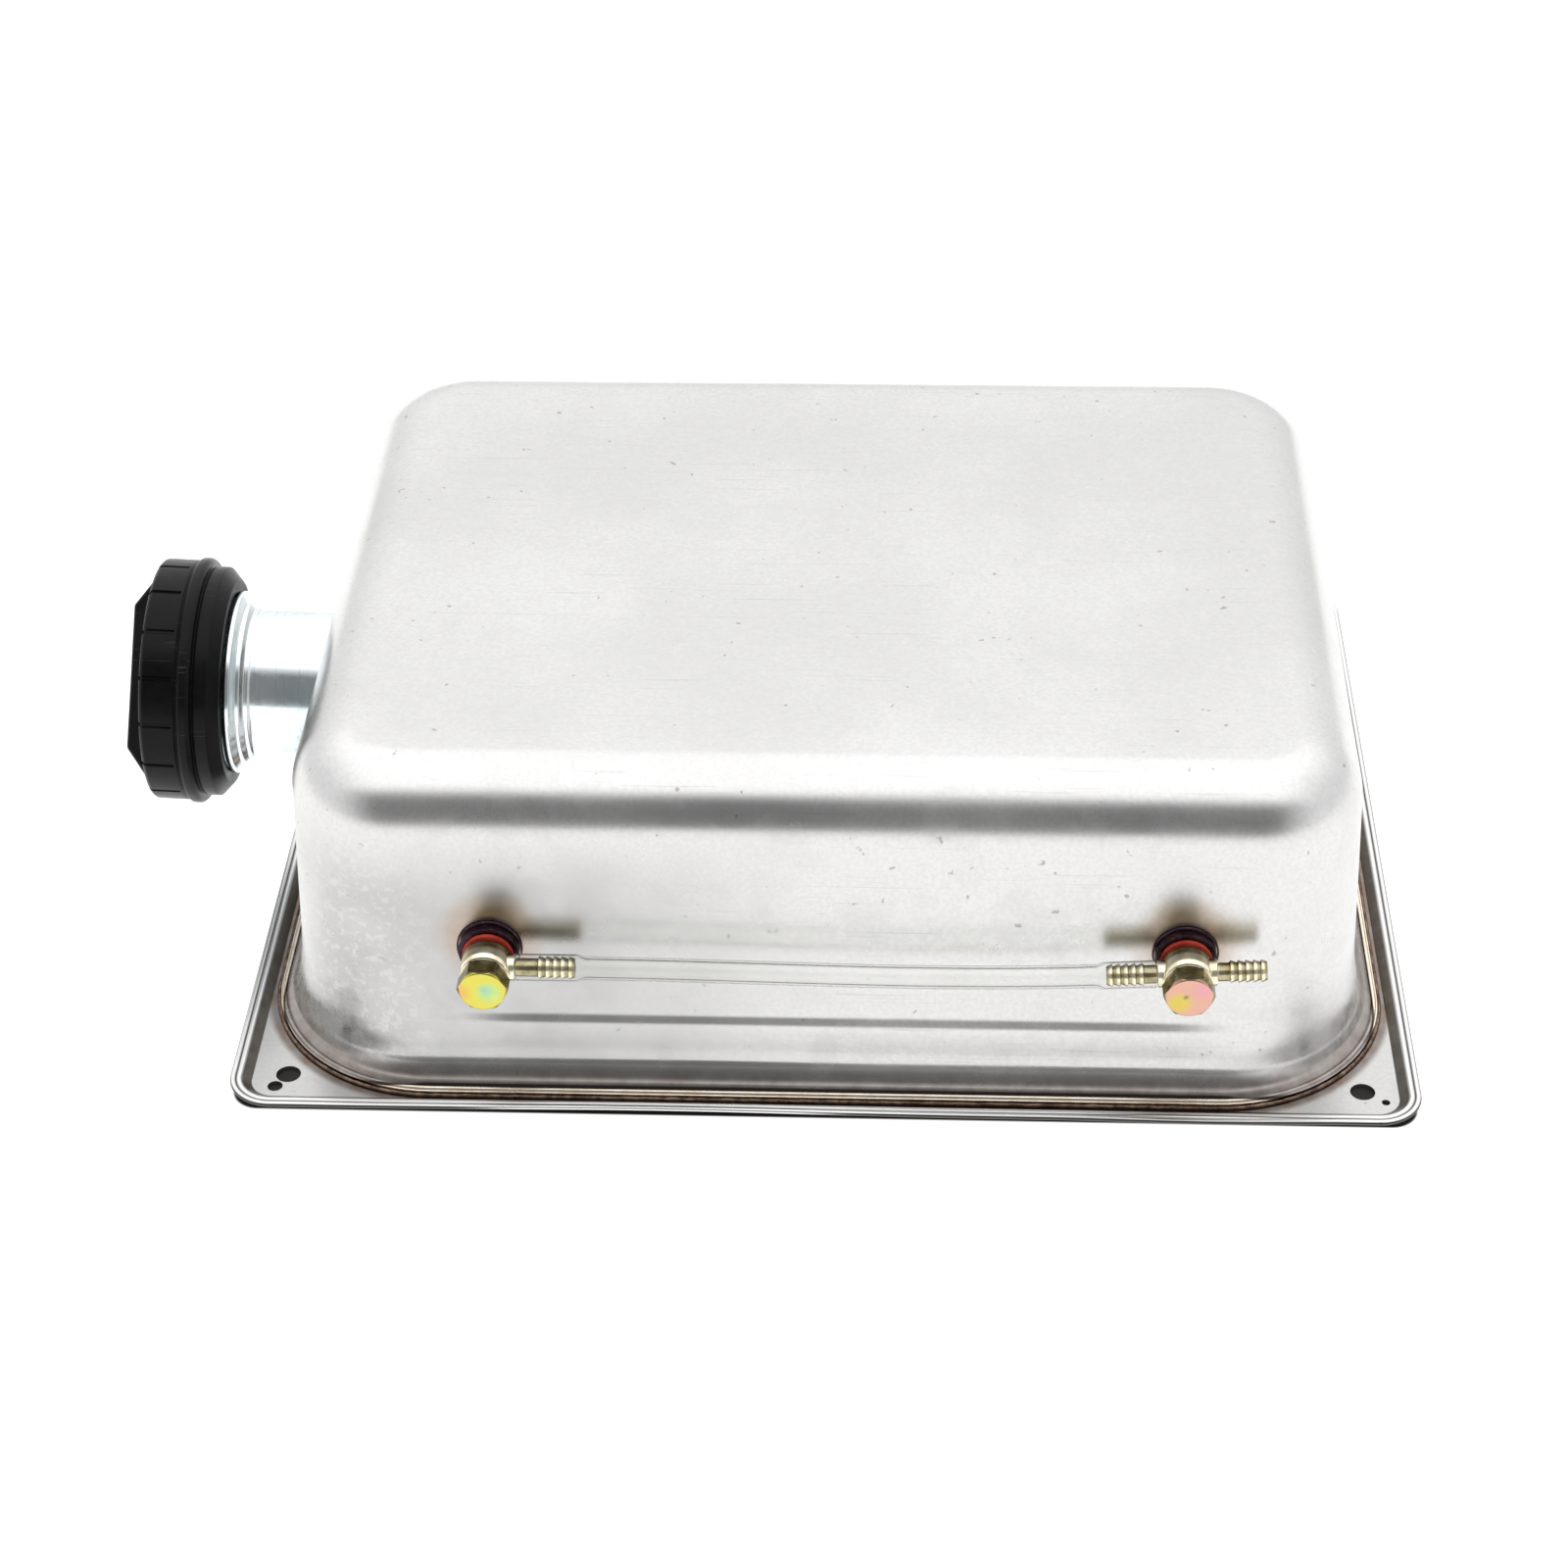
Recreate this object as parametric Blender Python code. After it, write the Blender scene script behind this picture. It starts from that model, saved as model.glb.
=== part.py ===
"""Hydraulic reservoir: a deep-drawn steel tank seam-welded to a flanged base plate.

A filler neck with a strainer and a vented screw cap stands out of one end wall. A clear level
tube runs along the front wall between two banjo fittings, and the one further from the filler
also carries the outlet barb.

Metres, +Z up. The origin is the centre of the base plate's underside. The filler points along
-X and the level gauge is on the -Y wall.
"""

import math

import bmesh
import bpy
from mathutils import Matrix

GAP = 0.0003  # clearance between pieces that touch
CORNER_STEPS = 6  # facets in each quarter turn of a rounded rectangle
SMOOTH_ANGLE = math.radians(35)

# Base plate: flat sheet with a hemmed, raised rim
PLATE_LENGTH = 0.420
PLATE_DEPTH = 0.345
PLATE_CORNER = 0.016
PLATE_THICKNESS = 0.0015
RIM_HEIGHT = 0.0042
RIM_THICKNESS = 0.0018
RIM_TOP_WIDTH = 0.0043
RIM_SLOPE_WIDTH = 0.0031
RIM_EDGE_ROUND = 0.0006
HEM_GROOVE = 0.0005
BOLT_HOLE_RADIUS = 0.0044
BOLT_HOLE_X = 0.1900
BOLT_HOLE_Y = 0.1531
JIG_HOLES = ((-0.1938, -0.1597, 0.0027), (0.1976, -0.1586, 0.0015))  # x, y, radius

# Tank shell, outside sizes. The step is the crease above the skirt, the shoulder the bend's start
SHEET = 0.0015
TANK_HEIGHT = 0.1254
SHOULDER_ROUND = 0.0240
SHOULDER_HEIGHT = TANK_HEIGHT - SHOULDER_ROUND
SHOULDER_SIZE = (0.1856, 0.1500, 0.0400)  # half length, half depth, corner radius
SHOULDER_STEPS = 6
STEP_HEIGHT = 0.0286
STEP_SIZE = (0.1887, 0.1520, 0.0430)
STEP_ROLL = 0.0040  # height over which the wall rolls out above the crease
SKIRT_CORNER_GROWTH = 2.2
SKIRT_GROWTH_END = 0.0065
FOOT_FLANGE_SPREAD = 0.0112
FOOT_FLANGE_TOP = PLATE_THICKNESS + GAP + SHEET
# Outline of the crease, the flaring skirt and the foot: outwards from the wall, and height
SKIRT_OUTLINE = (
    (0.0007, STEP_HEIGHT + 0.0020),
    (0.0017, STEP_HEIGHT - 0.0010),
    (0.0020, STEP_HEIGHT - 0.0040),
    (0.0022, 0.0170),
    (0.0034, 0.0117),
    (0.0047, 0.0090),
    (0.0064, 0.0067),
    (0.0088, 0.0048),
    (0.0100, FOOT_FLANGE_TOP),
    (FOOT_FLANGE_SPREAD, FOOT_FLANGE_TOP),
)

# Seam weld round the shell's foot flange
SEAM_WIDTH = 0.0012
SEAM_HEIGHT = 0.0013

# Filler, measured along its axis from the tank's middle. The axis is square to the drafted end
# wall, so it climbs a little on its way out
FILLER_HEIGHT = 0.0568  # of the axis, at the tank's middle
END_WALL_DRAFT = (STEP_SIZE[0] - SHOULDER_SIZE[0]) / (SHOULDER_HEIGHT - STEP_HEIGHT)
FILLER_CLIMB = math.atan(END_WALL_DRAFT)
FILLER_TURN = (0, FILLER_CLIMB - math.pi / 2, 0)  # turns local +Z out through the end wall
FILLER_SEGMENTS = 32
NECK_RADIUS = 0.0287
NECK_BORE = 0.0275
NECK_ROOT = 0.1815
NECK_MOUTH = 0.2465
MOUTH_BORE = 0.0310
LIP_RADIUS = 0.0347
LIP_START = 0.2248
LIP_END = 0.2270
RIDGE_PITCH = 0.0026
RIDGE_HEIGHT = 0.0008
THREAD_CREST = 0.0336
THREAD_ROOT = 0.0328
THREAD_LEAD = 0.0040
THREAD_TURNS = 4
FIRST_CREST = 0.2305
NECK_WELD_LEG = 0.0018

# Strainer hanging in the neck
STRAINER_TOP = NECK_MOUTH + GAP
STRAINER_RIM_THICKNESS = 0.0008
STRAINER_COLLAR_RADIUS = 0.0250
STRAINER_COLLAR_DEPTH = 0.0090
STRAINER_RADIUS = 0.0266
STRAINER_TIP_RADIUS = 0.0232
STRAINER_SHEET = 0.0006
STRAINER_BOTTOM = 0.1560
STRAINER_COLUMNS = 20
STRAINER_ROWS = 7

# Cap
CAP_SKIRT_END = 0.2278
CAP_SKIRT_RADIUS = 0.0436
CAP_SKIRT_END_RADIUS = 0.0389
CAP_FACE = 0.2565
CAP_FACE_SINK = 0.0009
CAP_FACE_RADIUS = 0.0390  # of the sunk middle of the face
CAP_RADIUS = 0.0457
CAP_BEAD_RADIUS = 0.0467
CAP_BEAD_START = 0.0135  # back from the face
CAP_BEAD_END = 0.0192
CAP_BORE = 0.0341
CAP_THREAD_GROOVE = 0.0349
CAP_POCKET_RADIUS = 0.0240
CAP_FACE_THICKNESS = 0.0028
CAP_GROOVES = 16
CAP_GROOVE_WIDTH = 0.0014
CAP_GROOVE_DEPTH = 0.0008
CAP_GROOVE_END = 0.0120
GRIP_HEIGHT = 0.0115
GRIP_SUNK = 0.0015
GRIP_EDGE_ROUND = 0.0012
GRIP_BASE_LENGTH = 0.0890
GRIP_TOP_LENGTH = 0.0545
GRIP_BASE_WIDTH = 0.0110
GRIP_TOP_WIDTH = 0.0078
GRIP_LEAN = math.radians(37)  # turn of the grip bar away from upright, towards +Y
GASKET_START = STRAINER_TOP + STRAINER_RIM_THICKNESS + GAP
GASKET_THICKNESS = 0.0020
GASKET_BORE = 0.0252
CAP_PLATE_START = GASKET_START + GASKET_THICKNESS + GAP
CAP_PLATE_THICKNESS = 0.0012
CAP_PLATE_RADIUS = 0.0346

# Vacuum vent in the cap plate
VENT_HOLE = 0.0035
VENT_DISC_RADIUS = 0.0065
VENT_DISC_THICKNESS = 0.0013
VENT_STEM_RADIUS = 0.0018
VENT_STEM_LENGTH = 0.0045
CAGE_LENGTH = 0.0097
CAGE_WALL = 0.0008
CAGE_RADIUS = 0.0084
CAGE_FLANGE_RADIUS = 0.0120
SPRING_RADIUS = 0.0042
SPRING_WIRE = 0.00035
SPRING_TURNS = 4
SPRING_POINTS_PER_TURN = 8

# Level gauge, with distances measured outwards from the front wall
GAUGE_TURN = (math.pi / 2, 0, 0)  # turns local +Z to -Y and local +Y to +Z
LEFT_GAUGE = (-0.1149, 0.0588)  # x and height
RIGHT_GAUGE = (0.1247, 0.0607)
RIGHT_BANJO_TURN = math.radians(3.5)  # clamped with its outlet end a little high
GAUGE_SEGMENTS = 20
BARB_SEGMENTS = 12
BOSS_RADIUS = 0.0105
BOSS_SPIGOT_RADIUS = 0.0082
BOSS_SPIGOT_LENGTH = 0.0045
BOSS_FRONT = 0.0036
BOSS_WELD_LEG = 0.0017
WASHER_BORE = 0.0054
INNER_WASHER_RADIUS = 0.0089
INNER_WASHER_THICKNESS = 0.0015
BANJO_RADIUS = 0.0087
BANJO_BORE = 0.0053
BANJO_WIDTH = 0.0102
BANJO_CHAMFER = 0.0010
OUTER_WASHER_RADIUS = 0.0084
OUTER_WASHER_THICKNESS = 0.0012
BOLT_RADIUS = 0.0049
BOLT_TIP = -0.0035
BOLT_AXIAL_BORE = 0.0024
BOLT_CROSS_BORE = 0.0017
HEX_ACROSS_FLATS = 0.0156
HEX_HEIGHT = 0.0069
HEX_CHAMFER = 0.0009

# Hose barbs on the banjos
BARB_CREST = 0.0040
BARB_ROOT = 0.0032
BARB_BORE = 0.0017
BARB_COLLAR_RADIUS = 0.0047
BARB_COLLAR_END = 0.0104
BARB_PITCH = 0.0026
BARB_RIDGES = 5
LEFT_BARB_REACH = 0.0309
RIGHT_BARB_REACH = 0.0277
OUTLET_BARB_REACH = 0.0272

# Level tube, pushed over one barb of each banjo
TUBE_RADIUS = 0.0041
TUBE_WALL = 0.0011
TUBE_SLEEVE_RADIUS = 0.0048
TUBE_SLEEVE_BORE = BARB_CREST + GAP
TUBE_TAPER = 0.0030
TUBE_SEGMENTS = 16
TUBE_STEPS = 10  # along its slightly bent middle


def clear_scene():
    for item in list(bpy.data.objects):
        bpy.data.objects.remove(item, do_unlink=True)


def new_material(name, colour, roughness, metallic, alpha=1.0):
    made = bpy.data.materials.new(name)
    made.use_nodes = True
    shader = made.node_tree.nodes["Principled BSDF"]
    shader.inputs["Base Color"].default_value = (*colour, 1.0)
    shader.inputs["Roughness"].default_value = roughness
    shader.inputs["Metallic"].default_value = metallic
    shader.inputs["Alpha"].default_value = alpha
    return made


def add_empty(name, location, rotation):
    empty = bpy.data.objects.new(name, None)
    empty.location = location
    empty.rotation_euler = rotation
    bpy.context.scene.collection.objects.link(empty)
    return empty


def add_piece(name, bm, material, parent=None, location=(0, 0, 0), rotation=(0, 0, 0)):
    """Turns the bmesh into a smooth-shaded object whose faces point outwards."""
    bmesh.ops.recalc_face_normals(bm, faces=bm.faces)
    mesh = bpy.data.meshes.new(name)
    bm.to_mesh(mesh)
    bm.free()
    mesh.materials.append(material)
    mesh.shade_smooth()
    mesh.set_sharp_from_angle(angle=SMOOTH_ANGLE)
    piece = bpy.data.objects.new(name, mesh)
    piece.parent = parent
    piece.location = location
    piece.rotation_euler = rotation
    bpy.context.scene.collection.objects.link(piece)
    return piece


def apply_boolean(piece, operation, bm, location=(0, 0, 0), rotation=(0, 0, 0)):
    """Adds a Boolean with a hidden helper made from the bmesh, placed in the piece's own space."""
    bmesh.ops.recalc_face_normals(bm, faces=bm.faces)
    mesh = bpy.data.meshes.new(piece.name + "_helper")
    bm.to_mesh(mesh)
    bm.free()
    helper = bpy.data.objects.new(mesh.name, mesh)
    helper.parent = piece
    helper.location = location
    helper.rotation_euler = rotation
    helper.hide_render = True
    helper.display_type = "WIRE"
    bpy.context.scene.collection.objects.link(helper)
    modifier = piece.modifiers.new(operation.title(), "BOOLEAN")
    modifier.operation = operation
    modifier.solver = "EXACT"
    modifier.object = helper


def turned(profile, segments):
    """Turns (radius, height) points about Z: a closed loop, or a line with both ends on the axis."""
    bm = bmesh.new()
    verts = [bm.verts.new((radius, 0, height)) for radius, height in profile]
    edges = [bm.edges.new(pair) for pair in zip(verts, verts[1:])]
    if profile[0][0] > 0:
        edges.append(bm.edges.new((verts[-1], verts[0])))
    bmesh.ops.spin(
        bm, geom=verts + edges, cent=(0, 0, 0), axis=(0, 0, 1),
        angle=math.tau, steps=segments, use_merge=True,
    )
    bmesh.ops.remove_doubles(bm, verts=bm.verts, dist=1e-6)
    return bm


def rod(radius, start, end, segments):
    return turned([(0, start), (radius, start), (radius, end), (0, end)], segments)


def rounded_ring(half_length, half_depth, radius, height):
    """Points round a rounded rectangle, anticlockwise from its +X side."""
    points = []
    for corner in range(4):
        centre_x = (half_length - radius) * (1 if corner in (0, 3) else -1)
        centre_y = (half_depth - radius) * (1 if corner in (0, 1) else -1)
        for step in range(CORNER_STEPS + 1):
            angle = (corner + step / CORNER_STEPS) * math.pi / 2
            x = centre_x + radius * math.cos(angle)
            y = centre_y + radius * math.sin(angle)
            points.append((x, y, height))
    return points


def loft(rings, first_cap=False, last_cap=False, closed=False):
    """Faces between rings of equal length. A closed loft joins its last ring to its first."""
    bm = bmesh.new()
    rows = [[bm.verts.new(point) for point in ring] for ring in rings]
    for low, high in zip(rows, rows[1:] + rows[:1] if closed else rows[1:]):
        for i in range(len(low)):
            j = (i + 1) % len(low)
            bm.faces.new((low[i], low[j], high[j], high[i]))
    if first_cap:
        bm.faces.new(rows[0])
    if last_cap:
        bm.faces.new(rows[-1])
    return bm


def wall_size(height):
    """Half length, half depth and corner radius of the drafted wall's outside at a height."""
    share = (height - STEP_HEIGHT) / (SHOULDER_HEIGHT - STEP_HEIGHT)
    return [low + share * (high - low) for low, high in zip(STEP_SIZE, SHOULDER_SIZE)]


def skirt_size(spread):
    """The same below the step, spread outwards from it. The corners open out towards the foot."""
    past_end = max(0.0, spread - SKIRT_GROWTH_END)
    radius = STEP_SIZE[2] + SKIRT_CORNER_GROWTH * (spread - past_end) + past_end
    return STEP_SIZE[0] + spread, STEP_SIZE[1] + spread, radius


def plate_ring(inset, height):
    return rounded_ring(
        PLATE_LENGTH / 2 - inset, PLATE_DEPTH / 2 - inset, PLATE_CORNER - inset, height
    )


def make_base_plate(steel):
    """Flat sheet whose edge turns up into a folded hem, with a hole in each corner."""
    hem_middle = RIM_TOP_WIDTH / 2
    slope_end = RIM_TOP_WIDTH + RIM_SLOPE_WIDTH
    rim_base = RIM_HEIGHT - RIM_THICKNESS
    outline = [
        (slope_end + PLATE_THICKNESS / 2, 0.0),
        (RIM_TOP_WIDTH + PLATE_THICKNESS / 2, rim_base),
        (RIM_EDGE_ROUND, rim_base),
        (0.0, rim_base + RIM_EDGE_ROUND),
        (0.0, RIM_HEIGHT - RIM_EDGE_ROUND),
        (RIM_EDGE_ROUND * 0.3, RIM_HEIGHT - RIM_EDGE_ROUND * 0.3),
        (RIM_EDGE_ROUND, RIM_HEIGHT),
        (hem_middle - HEM_GROOVE, RIM_HEIGHT),
        (hem_middle, RIM_HEIGHT - HEM_GROOVE),
        (hem_middle + HEM_GROOVE, RIM_HEIGHT),
        (RIM_TOP_WIDTH - HEM_GROOVE, RIM_HEIGHT),
        (RIM_TOP_WIDTH, RIM_HEIGHT - HEM_GROOVE / 2),
        (slope_end, PLATE_THICKNESS),
    ]
    rings = [plate_ring(inset, height) for inset, height in outline]
    plate = add_piece("base_plate", loft(rings, first_cap=True, last_cap=True), steel)
    for side_x in (-1, 1):
        for side_y in (-1, 1):
            place = (side_x * BOLT_HOLE_X, side_y * BOLT_HOLE_Y, 0)
            bolt_hole = rod(BOLT_HOLE_RADIUS, -RIM_HEIGHT, RIM_HEIGHT, 20)
            apply_boolean(plate, "DIFFERENCE", bolt_hole, place)
    for x, y, radius in JIG_HOLES:
        jig_hole = rod(radius, -RIM_HEIGHT, RIM_HEIGHT, 12)
        apply_boolean(plate, "DIFFERENCE", jig_hole, (x, y, 0))


def shell_rings():
    """Rings of the shell's outside, from the rim of its flat top down to the foot flange's edge."""
    rings = []
    for step in range(SHOULDER_STEPS + 1):
        angle = math.pi / 2 * (1 - step / SHOULDER_STEPS)
        drop_in = SHOULDER_ROUND * (1 - math.cos(angle))
        size = [side - drop_in for side in SHOULDER_SIZE]
        rings.append(rounded_ring(*size, SHOULDER_HEIGHT + SHOULDER_ROUND * math.sin(angle)))
    above_crease = STEP_HEIGHT + STEP_ROLL
    rings.append(rounded_ring(*wall_size(above_crease), above_crease))
    rings += [rounded_ring(*skirt_size(spread), height) for spread, height in SKIRT_OUTLINE]
    return rings


def make_tank_shell(steel):
    """Drawn sheet shell, open below, with holes for the neck and for the two gauge bosses."""
    shell = add_piece("tank_shell", loft(shell_rings(), first_cap=True), steel)
    sheet = shell.modifiers.new("Sheet", "SOLIDIFY")
    sheet.thickness = SHEET
    sheet.offset = -1
    sheet.use_even_offset = True
    neck_hole = rod(NECK_RADIUS + GAP, NECK_ROOT - 0.02, NECK_MOUTH, FILLER_SEGMENTS)
    apply_boolean(shell, "DIFFERENCE", neck_hole, (0, 0, FILLER_HEIGHT), FILLER_TURN)
    for gauge in (LEFT_GAUGE, RIGHT_GAUGE):
        boss_hole = rod(BOSS_SPIGOT_RADIUS + GAP, -0.02, 0.02, GAUGE_SEGMENTS)
        apply_boolean(shell, "DIFFERENCE", boss_hole, gauge_location(gauge), GAUGE_TURN)


def make_seam_weld(heat_tinted):
    """Low bead of weld on the base plate, round the edge of the shell's foot flange."""
    inner = FOOT_FLANGE_SPREAD + GAP
    base = PLATE_THICKNESS + GAP
    section = (
        (inner, base),
        (inner + SEAM_WIDTH, base),
        (inner + SEAM_WIDTH * 0.85, base + SEAM_HEIGHT * 0.7),
        (inner + SEAM_WIDTH * 0.4, base + SEAM_HEIGHT),
        (inner, base + SEAM_HEIGHT * 0.85),
    )
    rings = [rounded_ring(*skirt_size(spread), height) for spread, height in section]
    add_piece("seam_weld", loft(rings, closed=True), heat_tinted)


def gauge_location(gauge):
    """Where a gauge fitting's axis meets the front wall."""
    x, height = gauge
    return x, -wall_size(height)[1], height


def front_wall_slope():
    """How far the front wall leans in for each metre up."""
    return wall_size(0.0)[1] - wall_size(1.0)[1]


def thread_profile(low_radius, high_radius):
    """The neck thread's outline as parallel ridges, one every lead, from the lip to the mouth."""
    points = []
    for turn in range(THREAD_TURNS):
        crest = FIRST_CREST + turn * THREAD_LEAD
        points += [(low_radius, crest - 0.0012), (high_radius, crest), (low_radius, crest + 0.0012)]
    return points


def make_filler_neck(zinc, filler):
    """Rolled tube that widens over two ridges to an outward lip, with the cap's thread past it."""
    flare = (LIP_RADIUS - NECK_RADIUS) / 3
    profile = [
        (NECK_RADIUS, NECK_ROOT),
        (NECK_RADIUS, LIP_START - 2.6 * RIDGE_PITCH),
        (NECK_RADIUS + RIDGE_HEIGHT, LIP_START - 2.2 * RIDGE_PITCH),
        (NECK_RADIUS + RIDGE_HEIGHT / 2, LIP_START - 1.7 * RIDGE_PITCH),
        (NECK_RADIUS + flare + RIDGE_HEIGHT, LIP_START - 1.1 * RIDGE_PITCH),
        (NECK_RADIUS + flare + RIDGE_HEIGHT / 2, LIP_START - 0.6 * RIDGE_PITCH),
        (LIP_RADIUS - 0.0004, LIP_START),
        (LIP_RADIUS, LIP_START + 0.0005),
        (LIP_RADIUS, LIP_END - 0.0005),
        (LIP_RADIUS - 0.0004, LIP_END),
        (THREAD_ROOT, LIP_END + 0.0006),
        *thread_profile(THREAD_ROOT, THREAD_CREST),
        (THREAD_ROOT - 0.0006, NECK_MOUTH),
        (MOUTH_BORE + 0.0006, NECK_MOUTH),
        (MOUTH_BORE, NECK_MOUTH - 0.0006),
        (MOUTH_BORE, LIP_START),
        (NECK_BORE, LIP_START - 2.6 * RIDGE_PITCH),
        (NECK_BORE, NECK_ROOT),
    ]
    add_piece("filler_neck", turned(profile, FILLER_SEGMENTS), zinc, filler)


def lean_onto_wall(verts):
    """Shears a gauge's verts along local Z by their height on the front wall, which leans back."""
    for vert in verts:
        vert.co.z -= front_wall_slope() * vert.co.y


def weld_ring(inner_radius, back, leg, segments):
    """Fillet bead with a slightly crowned face, from the wall side outwards."""
    profile = [
        (inner_radius, back),
        (inner_radius + leg, back),
        (inner_radius + leg * 0.75, back + leg * 0.45),
        (inner_radius + leg * 0.45, back + leg * 0.75),
        (inner_radius, back + leg),
    ]
    return turned(profile, segments)


def make_neck_weld(heat_tinted, filler):
    wall = wall_size(FILLER_HEIGHT)[0] * math.cos(FILLER_CLIMB)
    bead = weld_ring(NECK_RADIUS + GAP, wall + GAP, NECK_WELD_LEG, FILLER_SEGMENTS)
    add_piece("neck_weld", bead, heat_tinted, filler)


def make_strainer(steel, mesh_steel, filler):
    """Rim ring resting on the neck's mouth, and a perforated cup that hangs from its collar."""
    rim_top = STRAINER_TOP + STRAINER_RIM_THICKNESS
    collar_end = STRAINER_TOP - STRAINER_COLLAR_DEPTH
    collar_bore = STRAINER_COLLAR_RADIUS - STRAINER_SHEET
    profile = [
        (collar_bore, collar_end),
        (STRAINER_COLLAR_RADIUS, collar_end),
        (STRAINER_COLLAR_RADIUS, STRAINER_TOP),
        (THREAD_ROOT - 0.0004, STRAINER_TOP),
        (THREAD_ROOT - 0.0004, rim_top),
        (collar_bore, rim_top),
    ]
    add_piece("strainer_rim", turned(profile, 32), steel, filler)

    cup_top = STRAINER_TOP - GAP
    rings = []
    for row in range(STRAINER_ROWS + 1):
        share = row / STRAINER_ROWS
        radius = STRAINER_RADIUS + share * (STRAINER_TIP_RADIUS - STRAINER_RADIUS)
        height = cup_top + share * (STRAINER_BOTTOM - cup_top)
        turns = [math.tau * column / STRAINER_COLUMNS for column in range(STRAINER_COLUMNS)]
        rings.append([(radius * math.cos(a), radius * math.sin(a), height) for a in turns])
    bm = loft(rings, last_cap=True)
    bmesh.ops.recalc_face_normals(bm, faces=bm.faces)
    bm.faces.ensure_lookup_table()
    windows = []
    for row in range(1, STRAINER_ROWS - 1, 2):
        windows += [bm.faces[row * STRAINER_COLUMNS + i] for i in range(0, STRAINER_COLUMNS, 2)]
    bmesh.ops.delete(bm, geom=windows, context="FACES")
    basket = add_piece("strainer_basket", bm, mesh_steel, filler)
    sheet = basket.modifiers.new("Sheet", "SOLIDIFY")
    sheet.thickness = STRAINER_SHEET
    sheet.offset = -1
    sheet.use_even_offset = True


def grip_bar():
    """Tapered bar across the cap's face, with sloping ends and bevelled edges."""
    bm = bmesh.new()
    bmesh.ops.create_cube(bm, size=1.0)
    for vert in bm.verts:
        top = vert.co.z > 0
        length = GRIP_TOP_LENGTH if top else GRIP_BASE_LENGTH
        width = GRIP_TOP_WIDTH if top else GRIP_BASE_WIDTH
        vert.co.x *= length
        vert.co.y *= width
        vert.co.z = CAP_FACE + (GRIP_HEIGHT if top else -GRIP_SUNK)
    raised = [edge for edge in bm.edges if max(v.co.z for v in edge.verts) > CAP_FACE]
    bmesh.ops.bevel(
        bm, geom=raised, offset=GRIP_EDGE_ROUND, segments=2, profile=0.5, affect="EDGES"
    )
    bmesh.ops.transform(bm, matrix=Matrix.Rotation(GRIP_LEAN, 4, "Z"), verts=bm.verts)
    return bm


def cap_groove_cutters():
    """Blocks that cut the short axial grooves round the cap's rim."""
    bm = bmesh.new()
    past_face = 0.0030
    length = CAP_GROOVE_END + past_face
    middle = CAP_FACE + past_face - length / 2
    reach = 2 * CAP_GROOVE_DEPTH
    for index in range(CAP_GROOVES):
        turn = Matrix.Rotation(math.tau * (index + 0.5) / CAP_GROOVES, 4, "Z")
        place = Matrix.Translation((CAP_RADIUS - CAP_GROOVE_DEPTH + reach, 0, middle))
        size = Matrix.Diagonal((2 * reach, CAP_GROOVE_WIDTH, length, 1))
        bmesh.ops.create_cube(bm, size=1.0, matrix=turn @ place @ size)
    return bm


def make_cap_shell(plastic, filler):
    """Black moulded cap: fluted rim, bead, tapering skirt and a grip bar across the face."""
    inner_top = CAP_PLATE_START + CAP_PLATE_THICKNESS + GAP
    plate_groove = CAP_PLATE_RADIUS + 0.0006
    bead_start = CAP_FACE - CAP_BEAD_START
    bead_end = CAP_FACE - CAP_BEAD_END
    profile = [
        (0, CAP_FACE - CAP_FACE_SINK),
        (CAP_FACE_RADIUS - 0.0020, CAP_FACE - CAP_FACE_SINK),
        (CAP_FACE_RADIUS, CAP_FACE),
        (CAP_RADIUS - 0.0010, CAP_FACE),
        (CAP_RADIUS, CAP_FACE - 0.0012),
        (CAP_RADIUS, bead_start + 0.0006),
        (CAP_RADIUS - 0.0006, bead_start),
        (CAP_BEAD_RADIUS, bead_start - 0.0016),
        (CAP_BEAD_RADIUS, bead_end + 0.0018),
        (CAP_BEAD_RADIUS - 0.0010, bead_end + 0.0005),
        (CAP_SKIRT_RADIUS - 0.0004, bead_end),
        (CAP_SKIRT_RADIUS, bead_end - 0.0010),
        (CAP_SKIRT_RADIUS, CAP_SKIRT_END + 0.0040),
        (CAP_SKIRT_END_RADIUS, CAP_SKIRT_END),
        (CAP_BORE + 0.0003, CAP_SKIRT_END),
        (CAP_BORE, CAP_SKIRT_END + 0.0005),
        *thread_profile(CAP_BORE, CAP_THREAD_GROOVE),
        (CAP_BORE, CAP_PLATE_START - 0.0024),
        (plate_groove, CAP_PLATE_START - 0.0012),
        (plate_groove, inner_top),
        (CAP_POCKET_RADIUS, inner_top),
        (CAP_POCKET_RADIUS - 0.0010, CAP_FACE - CAP_FACE_THICKNESS),
        (0, CAP_FACE - CAP_FACE_THICKNESS),
    ]
    cap = add_piece("cap_shell", turned(profile, FILLER_SEGMENTS), plastic, filler)
    apply_boolean(cap, "UNION", grip_bar())
    apply_boolean(cap, "DIFFERENCE", cap_groove_cutters())


def ring_section(inner, outer, start, end):
    return [(inner, start), (outer, start), (outer, end), (inner, end)]


def make_cap_inside(rubber, steel, filler):
    """Gasket on the neck's mouth, and the plate that the cap presses onto it."""
    gasket_end = GASKET_START + GASKET_THICKNESS
    gasket = turned(ring_section(GASKET_BORE, THREAD_CREST, GASKET_START, gasket_end), 32)
    add_piece("cap_gasket", gasket, rubber, filler)
    plate_end = CAP_PLATE_START + CAP_PLATE_THICKNESS
    plate = turned(ring_section(VENT_HOLE, CAP_PLATE_RADIUS, CAP_PLATE_START, plate_end), 32)
    add_piece("cap_plate", plate, steel, filler)


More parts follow.
